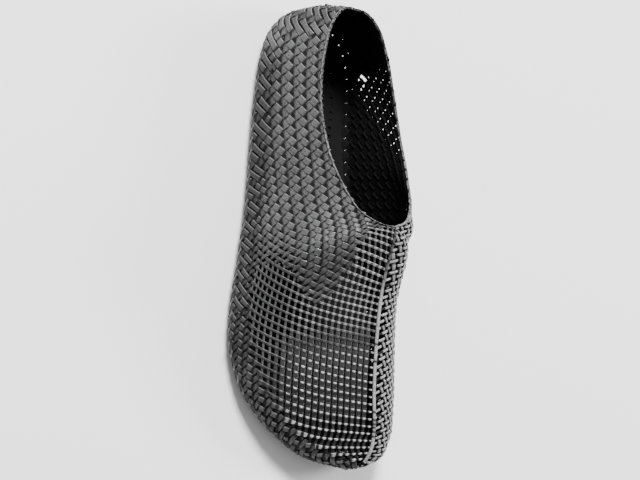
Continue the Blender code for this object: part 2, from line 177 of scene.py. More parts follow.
def wall(table, station, height):
    """Outside of the upper in millimetres, height 0 at the band and 1 at the top line."""
    station, height = np.broadcast_arrays(np.asarray(station, float), np.asarray(height, float))
    row = sections(table, station)
    foot, top = row[..., EDGE], top_line(table, station)
    span = top - foot
    lean = np.radians(row[..., LEAN])
    towards = unit(span * LEVEL) * np.cos(lean) + np.sin(lean) * UP
    lower = foot + LOW_REACH * row[..., LOW] * span[..., 2:] * UP
    upper = top - towards * row[..., HIGH] * np.linalg.norm(span, axis=-1, keepdims=True)
    h = height[..., None]
    rest = 1.0 - h
    return rest ** 3 * foot + 3 * rest * rest * h * lower + 3 * rest * h * h * upper + h ** 3 * top


def inward(table, station):
    """Level direction from the foot edge towards the middle of the foot."""
    ahead, behind = sections(table, station + EDGE_REACH), sections(table, station - EDGE_REACH)
    side = unit(np.cross(UP, (ahead - behind)[..., EDGE]))
    side = side if table is LATERAL else -side
    side = np.where((station < 2 * EDGE_REACH)[..., None], (0.0, 1.0, 0.0), side)
    return np.where((station > 1 - 2 * EDGE_REACH)[..., None], (0.0, -1.0, 0.0), side)


def tread(x, y):
    """Height of the underside."""
    lift = TOE_SPRING * (np.maximum(y - TOE_START, 0.0) / (TOE_TIP - TOE_START)) ** 2
    lift = lift + HEEL_LIFT * (np.maximum(HEEL_ROUND - y, 0.0) / HEEL_ROUND) ** 2
    along = np.maximum(1.0 - ((y - ARCH_CENTRE) / ARCH_HALF) ** 2, 0.0)
    across = np.clip((ARCH_INNER - x) / (ARCH_INNER - ARCH_OUTER), 0.0, 1.0)
    return lift + ARCH_RISE * along ** 2 * across ** 2


def place_on_frame():
    """Shift that carries the last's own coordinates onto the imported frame."""
    station = np.linspace(0.0, 1.0, EDGE_STATIONS)
    reach = np.concatenate([sections(table, station)[:, EDGE] for table in (LATERAL, MEDIAL)])
    low, high = (np.array(corner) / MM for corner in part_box("edge_band"))
    return 0.5 * (low + high - reach.min(axis=0) - reach.max(axis=0)) * LEVEL


SHIFT = place_on_frame()

# Guide lines: gap in millimetres at which one is cut, and what a part needs to be laid
SPLIT_DISTANCE, FEWEST_POINTS, SHORTEST_RUN = 3.0, 3, 0.15
SAMPLES_PER_CROSSING = 6
# Strips: chamfer and end reach in millimetres, shoulder as a share of the half width
CHAMFER, SHOULDER_RANGE, END_REACH = 0.3, (0.35, 0.95), 0.02
MERGE_DISTANCE, STRIP_SHARP = 2e-6, math.radians(32.0)  # metres, and the angle left sharp
# Section of a strip, walked round once: shares of the half width, the shoulder, the crown's
# place and the half thickness
STRIP_SECTION = (
    (-1.0, 0.0, 0.0, -1.0), (-1.0, 0.0, 0.0, 0.45), (0.0, -1.0, 0.0, 1.0), (0.0, 0.0, 1.0, 1.06),
    (0.0, 1.0, 0.0, 1.0), (1.0, 0.0, 0.0, 0.45), (1.0, 0.0, 0.0, -1.0), (-1.0, 0.0, 0.0, -1.0))
STRIP_INPUTS = {"Geometry": "NodeSocketGeometry", "Thickness": "NodeSocketFloat",
                "Lift": "NodeSocketFloat", "Depth": "NodeSocketFloat", "Material": "NodeSocketMaterial"}


class Surface:
    """A smooth skin sampled on a grid, on which strips can be traced."""

    def __init__(self, points):
        self.points = points
        self.flat = np.zeros(points.shape[:2])
        along, up = np.gradient(points, axis=0), np.gradient(points, axis=1)
        normal = unit(np.cross(along, up))
        facing = np.sum(normal * (points - LAST_MIDDLE), axis=-1).mean()
        self.normal = normal if facing > 0 else -normal
        self.metric = (np.sum(along * along, -1), np.sum(along * up, -1), np.sum(up * up, -1))

    def face(self, outward):
        """Turns every normal to the side of a direction."""
        self.normal = self.normal * np.sign(np.sum(self.normal * outward, axis=-1, keepdims=True))

    def spacing(self, field):
        """Distance on the skin between neighbouring whole-number lines of a field."""
        e, f, g = self.metric
        d_along, d_up = np.gradient(field, axis=0), np.gradient(field, axis=1)
        steep = d_along ** 2 * g - 2 * d_along * d_up * f + d_up ** 2 * e
        return 1.0 / np.sqrt(np.maximum(steep / np.maximum(e * g - f * f, TINY), TINY))

    def at(self, grid, i, j):
        """Bilinear value of a grid at fractional cells."""
        i0 = np.clip(np.floor(i).astype(int), 0, grid.shape[0] - 2)
        j0 = np.clip(np.floor(j).astype(int), 0, grid.shape[1] - 2)
        u, v = i - i0, j - j0
        if grid.ndim == 3:
            u, v = u[:, None], v[:, None]
        return ((1 - u) * (1 - v) * grid[i0, j0] + u * (1 - v) * grid[i0 + 1, j0]
                + (1 - u) * v * grid[i0, j0 + 1] + u * v * grid[i0 + 1, j0 + 1])

    def lines(self, field, running):
        """Whole-number lines of a field as (level, i, j, running value), cut where they leave
        the skin and ordered by the running value."""
        low = np.floor(field)
        hits = []
        for axis in (0, 1):
            first = tuple(slice(None, -1) if k == axis else slice(None) for k in (0, 1))
            second = tuple(slice(1, None) if k == axis else slice(None) for k in (0, 1))
            i, j = np.nonzero(low[first] != low[second])
            a, b = field[first][i, j], field[second][i, j]
            level = np.maximum(low[first][i, j], low[second][i, j])
            t = (level - a) / (b - a)
            run = running[first][i, j] * (1 - t) + running[second][i, j] * t
            cell = [i.astype(float), j.astype(float)]
            cell[axis] += t
            hits.append(np.stack([level, *cell, run], -1))
        hits = np.concatenate(hits)
        hits = hits[np.lexsort((hits[:, 3], hits[:, 0]))]
        cuts = np.nonzero(np.diff(hits[:, 0]))[0] + 1
        for line in np.split(hits, cuts):
            place = self.at(self.points, line[:, 1], line[:, 2])
            gaps = np.linalg.norm(np.diff(place, axis=0), axis=1)
            for part in np.split(line, np.nonzero(gaps > SPLIT_DISTANCE)[0] + 1):
                if len(part) > FEWEST_POINTS and part[-1, 3] - part[0, 3] > SHORTEST_RUN:
                    yield part


class Strands:
    """Guide lines of many strips with what each point of a strip needs."""

    def __init__(self):
        self.parts = []

    def add(self, place, out, across, lift, tone, shade_fold=1.0, crown=0.0):
        """One strip: centre line, outward direction, half-width vector, lift, tone, the mark that
        places its painted crossing shade, and the crown's place across it.  Its ends close to a point."""
        if len(place) < FEWEST_POINTS:
            return
        flat = np.zeros(len(place))
        half = np.maximum(np.linalg.norm(across, axis=-1), TINY)
        shoulder = np.clip(1.0 - CHAMFER / half, *SHOULDER_RANGE)
        part = {"line": place, "out": out, "across": across, "body": 1.0 + flat, "lift": lift + flat,
                "shoulder": shoulder, "crown": crown + flat, "shade_fold": shade_fold + flat, "tone": tone + flat}
        part = {key: np.concatenate([value[:1], value, value[-1:]]) for key, value in part.items()}
        part["line"][[0, -1]] += END_REACH * np.sign(place[[0, -1]] - place[[1, -2]])
        for key in ("across", "body"):
            part[key][[0, -1]] = 0.0
        self.parts.append(part)

    def mesh(self, name):
        """Edges along every guide line, carrying its values as attributes."""
        data = bpy.data.meshes.new(name)
        joined = {key: np.concatenate([p[key] for p in self.parts]) for key in self.parts[0]}
        joined["line"] = (joined["line"] + SHIFT) * MM
        joined["across"] = joined["across"] * MM
        count = len(joined["line"])
        starts = np.cumsum([0] + [len(p["tone"]) for p in self.parts])
        keep = np.ones(count - 1, bool)
        keep[starts[1:-1] - 1] = False
        first = np.nonzero(keep)[0]
        data.vertices.add(count)
        data.vertices.foreach_set("co", joined["line"].astype(np.float32).ravel())
        data.edges.add(len(first))
        data.edges.foreach_set("vertices", np.stack([first, first + 1], -1).astype(np.int32).ravel())
        for key, values in joined.items():
            kind, member = ("FLOAT_VECTOR", "vector") if values.ndim == 2 else ("FLOAT", "value")
            layer = data.attributes.new(key, kind, "POINT")
            layer.data.foreach_set(member, values.astype(np.float32).ravel())
        data.update()
        return data


class NodeValue:
    """A socket of a node tree that can be used in Python arithmetic: numbers through Math,
    and vectors, which are added or scaled by a number, through Vector Math."""

    def __init__(self, tree, socket=None):
        self.tree, self.socket = tree, socket

    def node(self, kind, settings, values, output):
        """Any other node: settings first, then values or links, giving the named output."""
        made = self.tree.nodes.new(kind)
        for key, value in settings.items():
            setattr(made, key, value)
        for key, value in values.items():
            if isinstance(value, NodeValue):
                value.feed(made.inputs[key])
            else:
                made.inputs[key].default_value = value
        return NodeValue(self.tree, made.outputs[output])

    def beside(self, output):
        """Another output of the same node."""
        return NodeValue(self.tree, self.socket.node.outputs[output])

    def feed(self, socket):
        """Links this value to a socket."""
        self.tree.links.new(self.socket, socket)

    def _math(self, operation, first, second):
        if self.socket.type != "VECTOR":
            return self.node("ShaderNodeMath", {"operation": operation}, {0: first, 1: second}, "Value")
        operation, slot = ("SCALE", "Scale") if operation == "MULTIPLY" else (operation, 1)
        return self.node("ShaderNodeVectorMath", {"operation": operation}, {0: first, slot: second}, "Vector")

    def __add__(self, other):
        return self._math("ADD", self, other)

    def __radd__(self, other):
        return self._math("ADD", other, self)

    def __sub__(self, other):
        return self._math("SUBTRACT", self, other)

    def __rsub__(self, other):
        return self._math("SUBTRACT", other, self)

    def __mul__(self, other):
        return self._math("MULTIPLY", self, other)

    def __rmul__(self, other):
        return self._math("MULTIPLY", other, self)


def strip_tree():
    """Turns guide lines into closed strips: each step of the section is one extrusion."""
    tree = bpy.data.node_groups.new("strips_from_lines", "GeometryNodeTree")
    tree.interface.new_socket("Geometry", in_out="OUTPUT", socket_type="NodeSocketGeometry")
    identifiers = {name: tree.interface.new_socket(name, in_out="INPUT", socket_type=kind).identifier
                   for name, kind in STRIP_INPUTS.items()}
    source, sink = tree.nodes.new("NodeGroupInput"), tree.nodes.new("NodeGroupOutput")
    given = {name: NodeValue(tree, source.outputs[name]) for name in STRIP_INPUTS}
    make = NodeValue(tree).node

    def carried(name, kind="FLOAT"):
        return make("GeometryNodeInputNamedAttribute", {"data_type": kind}, {"Name": name}, "Attribute")

    line, out, across = (carried(name, "FLOAT_VECTOR") for name in ("line", "out", "across"))
    centre = line + out * (carried("lift") * given["Lift"] - given["Depth"])
    half = given["Thickness"] * 0.5 * carried("body")
    shoulder, crown = carried("shoulder"), carried("crown")
    corners = [centre + (across * (shoulder * inset + edge + crown * crest) + out * (half * up))
               for edge, inset, crest, up in STRIP_SECTION]
    first = {"Geometry": given["Geometry"], "Position": corners[0]}
    shape = make("GeometryNodeSetPosition", {}, first, "Geometry")
    edge = {}
    for corner in corners[1:]:
        grown = make("GeometryNodeExtrudeMesh", {"mode": "EDGES"},
                     {"Mesh": shape, "Offset Scale": 0.0, **edge}, "Mesh")
        edge = {"Selection": grown.beside("Top")}
        moved = {"Geometry": grown, "Position": corner, **edge}
        shape = make("GeometryNodeSetPosition", {}, moved, "Geometry")
    for kind, values in (("MergeByDistance", {"Distance": MERGE_DISTANCE}), ("RealizeInstances", {}),
                         ("SetMaterial", {"Material": given["Material"]})):
        shape = make("GeometryNode" + kind, {}, {"Geometry": shape, **values}, "Geometry")
    shape.feed(sink.inputs["Geometry"])
    return tree, identifiers


# Painted light of a strip: tones kept in painted shade inside, where it dives and on the half
# of a crossing turned from the light, and a painted highlight along its pale edge
INSIDE_SHADE_TONE, DIVE_SHADE_TONE, FOLD_SHADE_TONE = 0.04, 0.03, 0.04
FOLD_SHADE_SLANT, FOLD_SHADE_STEP, NO_FOLD_SHADE = 0.43, (-0.16, 0.02), 2.0
EDGE_CROWN, EDGE_HIGHLIGHT_FROM, EDGE_HIGHLIGHT_GAIN, EDGE_HIGHLIGHT_TONES = -0.6, -0.72, 0.75, (0.1, 0.3)
# lift over which the crests carry their painted highlight
HIGHLIGHT_LIFT = (-0.3, 0.5)
# Between two crossings: where a strip dives, and how straight an even slope is
DIVE_STEP, SLOPE_SHARE = (0.22, 0.78), 0.8
TONES = 4096
# Tone of each strip family: base, spread of its random tones, first draw, and the lift over
# which a strip comes out from under another and out of its painted shade
TONE_LOOKS = {
    "outer_rising": (0.8, 0.25, 0, (0.1, 0.85)),
    "outer_falling": (0.7, 0.2, 977, (-0.5, 0.4)),
    "outer_columns": (0.55, 0.2, 641, None),
    "inner_rising": (0.6, 0.4, 311, (-0.3, 0.6)),
    "inner_falling": (0.5, 0.3, 1500, (-0.5, 0.4)),
    "tread_bars": (0.5, 0.5, 0, None),
    "tread_rows": (0.35, 0.4, 91, None),
    "band_forward": (0.5, 0.5, 0, (-0.5, 0.6)),
    "band_backward": (0.3, 0.4, 77, (-0.5, 0.6)),
}


def read_attribute(shape, key):
    """Values of a point attribute as an array."""
    layer = shape.attributes[key]
    width, member = (3, "vector") if layer.data_type == "FLOAT_VECTOR" else (1, "value")
    values = np.empty(len(layer.data) * width, np.float32)
    layer.data.foreach_get(member, values)
    return values.reshape(-1, width) if width == 3 else values


def shade_strips(shape, sizes):
    """Paints shade on the foot side of every strip and on the half of each crossing turned from
    the light, and a highlight along its pale edge.
    """
    offset = read_attribute(shape, "position") - read_attribute(shape, "line")
    across = read_attribute(shape, "across")
    depth = np.sum(offset * read_attribute(shape, "out"), axis=-1)
    depth -= read_attribute(shape, "lift") * sizes["Lift"] - sizes["Depth"]
    side = np.sum(offset * across, axis=-1) / np.maximum(np.sum(across * across, axis=-1), TINY_AREA)
    shade_fold = read_attribute(shape, "shade_fold")
    # painted shade on the half of each crossing turned from the light
    pale = smooth(shade_fold - FOLD_SHADE_SLANT * side, *FOLD_SHADE_STEP)
    tone = read_attribute(shape, "tone") * (FOLD_SHADE_TONE + (1.0 - FOLD_SHADE_TONE) * pale)
    # painted highlight along one edge, where crossings carry no painted shade on one half
    edge = (side < EDGE_HIGHLIGHT_FROM) & (shade_fold >= 1.0)
    tone = tone + np.where(edge, EDGE_HIGHLIGHT_GAIN * smooth(tone, *EDGE_HIGHLIGHT_TONES), 0.0)
    # painted shade on the foot side and inside of every strip
    tone = tone * np.where(depth < 0.0, INSIDE_SHADE_TONE, 1.0)
    shape.attributes["tone"].data.foreach_set("value", tone.astype(np.float32))


def placed(name, data):
    """New object with the given data, linked into the scene."""
    made = bpy.data.objects.new(name, data)
    bpy.context.scene.collection.objects.link(made)
    return made


def face_out(shape):
    """Turns every face of a closed mesh outwards."""
    solid = bmesh.new()
    solid.from_mesh(shape)
    bmesh.ops.recalc_face_normals(solid, faces=solid.faces)
    solid.to_mesh(shape)
    solid.free()


def plait(name, strands, tree, sizes):
    """Strips made from guide lines, as one plain mesh object at the origin."""
    group, identifiers = tree
    data = strands.mesh(name + "_lines")
    guide = placed(name + "_lines", data)
    grown = guide.modifiers.new("strips", "NODES")
    grown.node_group = group
    for key, value in sizes.items():
        grown[identifiers[key]] = value
    graph = bpy.context.evaluated_depsgraph_get()
    shape = bpy.data.meshes.new_from_object(guide.evaluated_get(graph), depsgraph=graph)
    guide.modifiers.remove(grown)
    bpy.data.objects.remove(guide, do_unlink=True)
    bpy.data.meshes.remove(data)
    if not shape.polygons:
        raise RuntimeError(name + " has no strips")
    face_out(shape)
    shade_strips(shape, sizes)
    for key in strands.parts[0]:
        if key != "tone":
            shape.attributes.remove(shape.attributes[key])
    shape.shade_smooth()
    shape.set_sharp_from_angle(angle=STRIP_SHARP)
    shape.name = name
    return placed(name, shape)


def over_under(sign_here, sign_next, share, level):
    """Lift between two crossings: flat over each with a steep dive, or one even slope."""
    slope = SLOPE_SHARE * share + (1.0 - SLOPE_SHARE) * smooth(share, 0.0, 1.0)
    dive = smooth(share, *DIVE_STEP) if level else slope
    return sign_here + (sign_next - sign_here) * dive


def weave_sign(own, crossing, floats):
    """1 where a strip passes over the crossing one, -1 under; floats pass over three in four."""
    plain = np.where((own + crossing) % 2 == 0, 1.0, -1.0)
    return np.where(floats, np.where((own + crossing) % 4 == 0, -1.0, 1.0), plain)


def opposite(sign):
    """Sign of the family that crosses the one with this sign."""
    return lambda own, crossing, i, j: -sign(crossing, own, i, j)


def toned(skin, tones, family, added_light=0.0, tone_and_light=1.0, highlight=0.0, under=0.0):
    """Tone of a strip family: its look, with painted light added to the base, the share kept of it,
    which holds painted light and shade, a painted highlight on the crests, and the share of tone
    left in the painted shade where a strip dives under another."""
    base, spread, draw, dive_shade_lift = TONE_LOOKS[family]
    added_light, tone_and_light, highlight, under = (value + skin.flat for value in (added_light, tone_and_light, highlight, under))

    def tone(own, i, j, lift):
        start = base + spread * tones[int(own + draw) % TONES] + skin.at(added_light, i, j)
        # painted light and shade, and a painted highlight on the crests
        lit = skin.at(tone_and_light, i, j) + skin.at(highlight, i, j) * smooth(lift, *HIGHLIGHT_LIFT)
        if dive_shade_lift is None:
            return start * lit
        # painted shade where the strip dives under another
        dive = DIVE_SHADE_TONE + (1.0 - DIVE_SHADE_TONE) * smooth(lift, *dive_shade_lift)
        return start * lit * (dive + (1.0 - dive) * skin.at(under, i, j))

    return tone


def trace_family(surface, strands, field, running, half_width, sign, tone, keep=None,
                 samples=SAMPLES_PER_CROSSING, level=True, rise=1.0, fold_shaded=0.0, dip=0.0, crown=0.0):
    """Lays one family of strips: lines of a field, lifted by sign(own, crossing) where
    it crosses the other family, with painted shade on the half of each crossing turned from
    the light, in full where its given share is 1, and the strip sunk between crossings where dip is 1."""
    rise, fold_shaded, dip = (value + surface.flat for value in (rise, fold_shaded, dip))
    for line in surface.lines(field, running):
        levels, cells_i, cells_j, marks = line.T
        own, start, end = levels[0], marks[0], marks[-1]
        grid = np.arange(math.ceil(start * samples), math.floor(end * samples) + 1) / samples
        run = np.unique(np.concatenate([[start], grid, [end]]))
        i, j = np.interp(run, marks, cells_i), np.interp(run, marks, cells_j)
        place, out = surface.at(surface.points, i, j), unit(surface.at(surface.normal, i, j))
        across = unit(np.cross(out, tangents(place))) * surface.at(half_width, i, j)[:, None]
        cell = np.floor(run)
        share = run - cell
        here, after = sign(own, cell, i, j), sign(own, cell + 1, i, j)
        lift = over_under(here, after, share, level)
        lift = lift - surface.at(dip, i, j) * (1.0 - np.cos(2.0 * math.pi * share))
        # where on each crossing its painted shade falls: the half turned from the light
        shade_fold = np.where((here > 0.0) & ((after < 0.0) | (share < 0.5)), share, share - 1.0)
        shade_fold = shade_fold + NO_FOLD_SHADE * (1.0 - surface.at(fold_shaded, i, j))
        colour = tone(own, i, j, lift)
        lift = lift * surface.at(rise, i, j)
        stay = np.ones(len(run), bool) if keep is None else keep(i, j)
        bounds = np.nonzero(np.diff(stay.astype(int)))[0] + 1
        for index in np.split(np.arange(len(run)), bounds):
            if stay[index[0]]:
                strands.add(place[index], out[index], across[index], lift[index], colour[index],
                            shade_fold[index], crown)


# The weave's chart.  A strip family is the set of whole-number lines of the imaginary part
# of exp(turn * z) / turn, so its direction and pitch drift smoothly over the laid-out upper.
REFERENCE_ALONG, REFERENCE_UP = 70.0, 25.5
GIRTH_SHARE = 0.85
LATERAL_CHART = {
    "rising": {"angle": 47.0, "pitch": 4.05, "turn": complex(-0.0010, -0.00291)},
    "falling": {"angle": 132.0, "pitch": 5.34, "turn": complex(0.00152, -0.00459)},
}
MEDIAL_CHART = {
    "rising": {"angle": 46.0, "pitch": 3.3, "turn": complex(0.0002, 0.0004)},
    "falling": {"angle": 134.0, "pitch": 6.4, "turn": complex(0.0028, -0.0004)},
}
# Over the toes the weave opens into lengthwise columns under leaning rows
COLUMN_ALONG, COLUMN_UP, COLUMN_PITCH, COLUMN_STEP = 150.0, 45.0, 3.93, (115.0, 185.0)
ROW_LEAN, ROW_LEAN_TOP, ROW_LEAN_STEP = 0.0008, 80.0, (90.0, 190.0)
# Laying out: cells of the skin, stations where the measured line leaves mid height for the
# ridge, running means, and the station that lies a known distance along
ALONG_CELLS, UP_CELLS = 520, 170
REFERENCE_STEP = (0.42, 0.62)
GIRTH_EVEN, ALONG_EVEN = 61, 81
KNOWN_STATION, KNOWN_ALONG = 0.34, 78.0


def laid_out(table):
    """Skin of one side, its distances along the shoe and up the wall, and how far the girth
    falls short of that at the throat."""
    station, height = np.linspace(0.0, 1.0, ALONG_CELLS), np.linspace(0.0, 1.0, UP_CELLS)
    points = wall(table, station[:, None], height[None, :])
    climb = np.cumsum(np.linalg.norm(np.diff(points, axis=1), axis=-1), axis=1)
    up = np.pad(climb, ((0, 0), (1, 0)))
    girth = up[:, -1]
    throat = np.searchsorted(station, THROAT)
    front = evened(np.where(station < THROAT, girth[throat], girth), GIRTH_EVEN)
    reference = (0.5 + 0.5 * smooth(station, *REFERENCE_STEP))[:-1]
    step = wall(table, station[1:], reference) - wall(table, station[:-1], reference)
    along = np.cumsum(evened(np.linalg.norm(step, axis=-1), ALONG_EVEN))
    along = np.concatenate([[0.0], along])
    along = along - np.interp(KNOWN_STATION, station, along) + KNOWN_ALONG
    return Surface(points), along[:, None] + 0.0 * up, up, (girth[throat] - front)[:, None]


def chart_field(chart, along, up):
    """Count of a strip family over the laid-out side."""
    z = (along - REFERENCE_ALONG) + 1j * (GIRTH_SHARE * up - REFERENCE_UP)
    turned = np.exp(chart["turn"] * z - 1j * math.radians(chart["angle"]))
    return np.imag(turned / (chart["turn"] * chart["pitch"]))


# Rubber: scales are repeats per metre, gains are about the middle of each pattern
CLOUD = {"Scale": 90.0, "Detail": 3.0}
SPECK = {"Scale": 1700.0, "Detail": 2.0}
LAYERS = {"Scale": 520.0, "Distortion": 1.5, "Detail": 1.0}
PATTERN_MIDDLE, CLOUD_GAIN, SPECK_GAIN = 0.5, 0.6, 2.6
SPECULAR, DULL, SPECK_ROUGH = 0.16, 0.88, 0.25
BUMP_STRENGTH, BUMP_DISTANCE, LAYER_BUMP, SPECK_BUMP = 0.35, 0.0002, 0.3, 0.8
ROUGHNESS = {"woven_rubber": 0.42, "tread_rubber": 0.5, "band_rubber": 0.45, "cut_edge_rubber": 0.45}
# Sockets of the colour mix
MIX_FACTOR, MIX_DARK, MIX_PALE, MIX_RESULT = 0, 6, 7, 2


def rubber(name, dark, pale):
    """Matt printed rubber: tone varies from strip to strip and carries painted shade and
    painted highlights, with fine layer lines and dust, and what lies dark is duller too."""
    made = bpy.data.materials.new(name)
    made.use_nodes = True
    tree = made.node_tree
    shader = tree.nodes["Principled BSDF"]
    shader.inputs["Specular IOR Level"].default_value = SPECULAR
    start = NodeValue(tree)
    place = start.node("ShaderNodeTexCoord", {}, {}, "Object")
    # tone attribute: each strip's own tone with its painted shade and painted highlights
    tone = start.node("ShaderNodeAttribute", {"attribute_name": "tone"}, {}, "Fac")
    cloud = start.node("ShaderNodeTexNoise", {}, {"Vector": place, **CLOUD}, "Fac")
    speck = start.node("ShaderNodeTexNoise", {}, {"Vector": place, **SPECK}, "Fac")
    layers = start.node("ShaderNodeTexWave", {"bands_direction": "DIAGONAL"},
                        {"Vector": place, **LAYERS}, "Fac")
    dust = speck - PATTERN_MIDDLE
    mix = tone * ((cloud - PATTERN_MIDDLE) * CLOUD_GAIN + dust * SPECK_GAIN + 1.0)
    colour = start.node("ShaderNodeMix", {"data_type": "RGBA", "clamp_factor": False},
                        {MIX_FACTOR: mix, MIX_DARK: (*dark, 1.0), MIX_PALE: (*pale, 1.0)}, MIX_RESULT)
    colour.feed(shader.inputs["Base Color"])
    rough = dust * SPECK_ROUGH + DULL - tone * (DULL - ROUGHNESS[name])
    rough.feed(shader.inputs["Roughness"])
    relief = layers * LAYER_BUMP + speck * SPECK_BUMP
    bump = start.node("ShaderNodeBump", {}, {
        "Strength": BUMP_STRENGTH, "Distance": BUMP_DISTANCE, "Height": relief}, "Normal")
    bump.feed(shader.inputs["Normal"])
    return made


def length(name, description, default, low, high):
    """Property for a length in metres."""
    return FloatProperty(name=name, description=description, default=default, min=low, max=high,
                         unit="LENGTH")


def tint(name, description, default):
    """Property for a colour."""
    return FloatVectorProperty(name=name, description=description, default=default, subtype="COLOR",
                               min=0.0, max=1.0)


class ShoeSettings(PropertyGroup):
    """Sizes and colours of the plaited shoe."""

    strip_thickness: length("Strip thickness", "Thickness of one plaited strip", 0.00085, 0.0002, 0.002)
    strip_lift: length("Strip lift", "How far a strip rises over and dives under", 0.00048, 0.0, 0.002)
    wall_depth: length("Wall depth", "Depth of the weave's middle below the outside", 0.0009, 0.0, 0.003)
    tread_pitch: length("Tread bar pitch", "Distance between lengthwise tread bars", 0.0073, 0.002, 0.02)
    tread_cross: length("Tread cross pitch", "Distance between cross bars of the tread", 0.0048, 0.002, 0.02)
    band_cells: IntProperty(
        name="Band cells", description="Open cells round the edge band", default=86, min=20, max=200)
    seed: IntProperty(name="Seed", description="Seed of the strip tones", default=7, min=0)
    dark: tint("Dark rubber", "Darkest tone of the strips", (0.003, 0.003, 0.0031))
    pale: tint("Pale rubber", "Palest tone of the strips", (0.07, 0.07, 0.0713))
    edge_pale: tint("Cut edge", "Paler tone of cut edges and the ridge", (0.11, 0.11, 0.112))
    sole_pale: tint("Tread", "Palest tone of the tread bars", (0.10, 0.10, 0.102))
    floor: tint("Floor", "Colour of the studio floor", (0.93, 0.93, 0.93))


def settings():
    """The shoe's settings in this scene."""
    return bpy.context.scene.woven_shoe


def strip_sizes(finish, sizes=None):
    """Inputs of the strip tree: thickness, lift and depth in metres, by default the weave's."""
    own = settings()
    thickness, lift, depth = sizes or (own.strip_thickness, own.strip_lift, own.wall_depth)
    return {"Thickness": thickness, "Lift": lift, "Depth": depth, "Material": finish}


def dress(piece, *nodes):
    """Ties a finished piece to the shoe's body and hides the solids that it stands for."""
    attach(piece, SHOE_BODY)
    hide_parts(*nodes)


def edge_fade(value, low, high):
    """Fades the low edge's narrow strips towards the toe."""
    return 1.0 - EDGE_FADE * smooth(value, low, high)


def zone_fields(table, **places):
    """Each zone as the product of its soft steps and humps over the named distances."""
    zones = {"all": 1.0}
    for name, parts in table.items():
        zones[name] = math.prod(shape(places[key], first, second) for shape, key, first, second in parts)
    return zones


def blends(table, zones):
    """Each named mix as the product of its weighted sums of zones."""
    return {name: math.prod(sum(weight * zones[key] for key, weight in factor.items())
                            for factor in factors) for name, factors in table.items()}


# Outer side, in millimetres.  The net begins along a line that bulges towards the toe part
# way up and draws back beside the ridge.
NET_START, NET_BULGE, NET_BULGE_UP = 146.0, 30.0, (62.0, 16.0)
NET_HOLD, NET_HOLD_UP = 14.0, (78.0, 90.0)
EDGE_FADE = 0.85
TOE_PARTS = ((smooth, "along", 205.0, 228.0), (smooth, "laid", 34.0, 52.0))
# Soft steps from one distance to another, and humps with centre and half width.  Laid is the
# height up the laid-out girth, opened the distance past the start of the net, below_top is
# negative, and off_row is a share of the row pitch.
OUTER_ZONES = {
    "net": ((smooth, "opened", -18.0, 22.0), (smooth, "up", 8.0, 22.0)),
    "lengthwise": ((smooth, "opened", 2.0, 26.0), (smooth, "up", 10.0, 20.0)),
    "high": ((smooth, "laid", 40.0, 58.0),),
    "crowded": ((smooth, "along", 122.0, 150.0), (smooth, "laid", 40.0, 58.0)),
    # painted light high up towards the ridge, fading out towards the toe tip
    "painted_shine": ((smooth, "laid", 72.0, 88.0), (smooth, "along", 220.0, 190.0)),
    "beside_ridge": ((smooth, "below_top", -4.6, -2.6), (smooth, "along", 150.0, 180.0)),
    "heel_end": ((smooth, "along", 21.0, 7.0),),
    "heel_back": ((smooth, "along", 30.0, 12.0),),
    "waist": ((hump, "along", 105.0, 26.0),),
    "low_edge": ((smooth, "along", 16.0, 40.0), (smooth, "up", 25.0, 9.0),
                 (edge_fade, "along", 210.0, 245.0)),
    "ball": ((hump, "along", 214.0, 8.0), (smooth, "laid", 36.0, 52.0)),
    "toe": TOE_PARTS,
    "notch": ((hump, "off_row", 0.0, 0.16), *TOE_PARTS),
    "tip": ((smooth, "along", 226.0, 244.0),),
    "toe_end": ((smooth, "along", 250.0, 266.0),),
}
# Share kept of the outer tone: darker at the waist and the ball, and painted shade at the heel end and along
# the low edge
OUTER_TONE_AND_SHADE = ({"all": 1.0, "waist": -0.16, "ball": -0.2, "heel_end": -0.5}, {"all": 1.0, "low_edge": -0.6})
# Half widths as shares of the pitch, rises as shares of the lift, and what toned() takes:
# painted shade over the net, painted light towards the ridge, painted highlights on the
# rising crests, and painted shade where strips dive, lifted in the net
OUTER_BLENDS = {
    "rising_half": ({"all": 0.475, "net": -0.315, "toe": -0.04, "ball": 0.04, "low_edge": -0.04,
                     "leaf": -0.17},),
    "falling_half": ({"all": 0.468, "net": -0.26, "low_edge": -0.08},),
    "column_half": ({"all": 0.16, "toe": 0.25, "ball": 0.16, "notch": -0.1},
                    {"all": 1.0, "beside_ridge": -1.0}, {"all": 1.0, "toe_end": -0.5}),
    "rising_rise": ({"all": 0.7, "net": -0.25},),
    "falling_rise": ({"all": 1.35, "net": -0.8},),
    # share of the painted shade on the half of each crossing turned from the light
    "fold_shade_share": ({"all": 1.0, "net": -0.3, "crowded": -0.09},),
    "rising_tone_and_light": (*OUTER_TONE_AND_SHADE, {"all": 1.0, "net": -0.45, "painted_shine": 0.8}),
    # painted highlights on the crests of the rising strips, along the lengthwise columns high up and over the
    # toe
    "rising_highlight": (*OUTER_TONE_AND_SHADE, {"all": 3.2, "toe": 4.4}, {"lengthwise": 1.0}, {"high": 1.0},
                     {"all": 1.0, "ball": -0.95}),
    "rising_dive_shade_kept": ({"net": 0.8}, {"all": 1.0, "toe": -0.8}),
    "falling_tone_and_light": (*OUTER_TONE_AND_SHADE, {"all": 1.0, "net": -0.25}),
    "falling_dive_shade_kept": ({"net": 0.7},),
    "column_tone_and_light": ({"all": 1.0, "toe": -0.5}, {"all": 1.0, "painted_shine": 0.9}, {"all": 1.0, "ball": -0.5}),
}
LEAF_COUNT, LEAF_EDGE = 4.0, 0.5
TIP_RISING, TIP_FALLING = 1.5, 1.3
FLOAT_UP, FLOAT_END, FLOAT_HEEL = 12.0, 190.0, 22.0
COLUMN_KEEP, COLUMN_END, COLUMN_RISE = 0.45, 282.0, 0.5
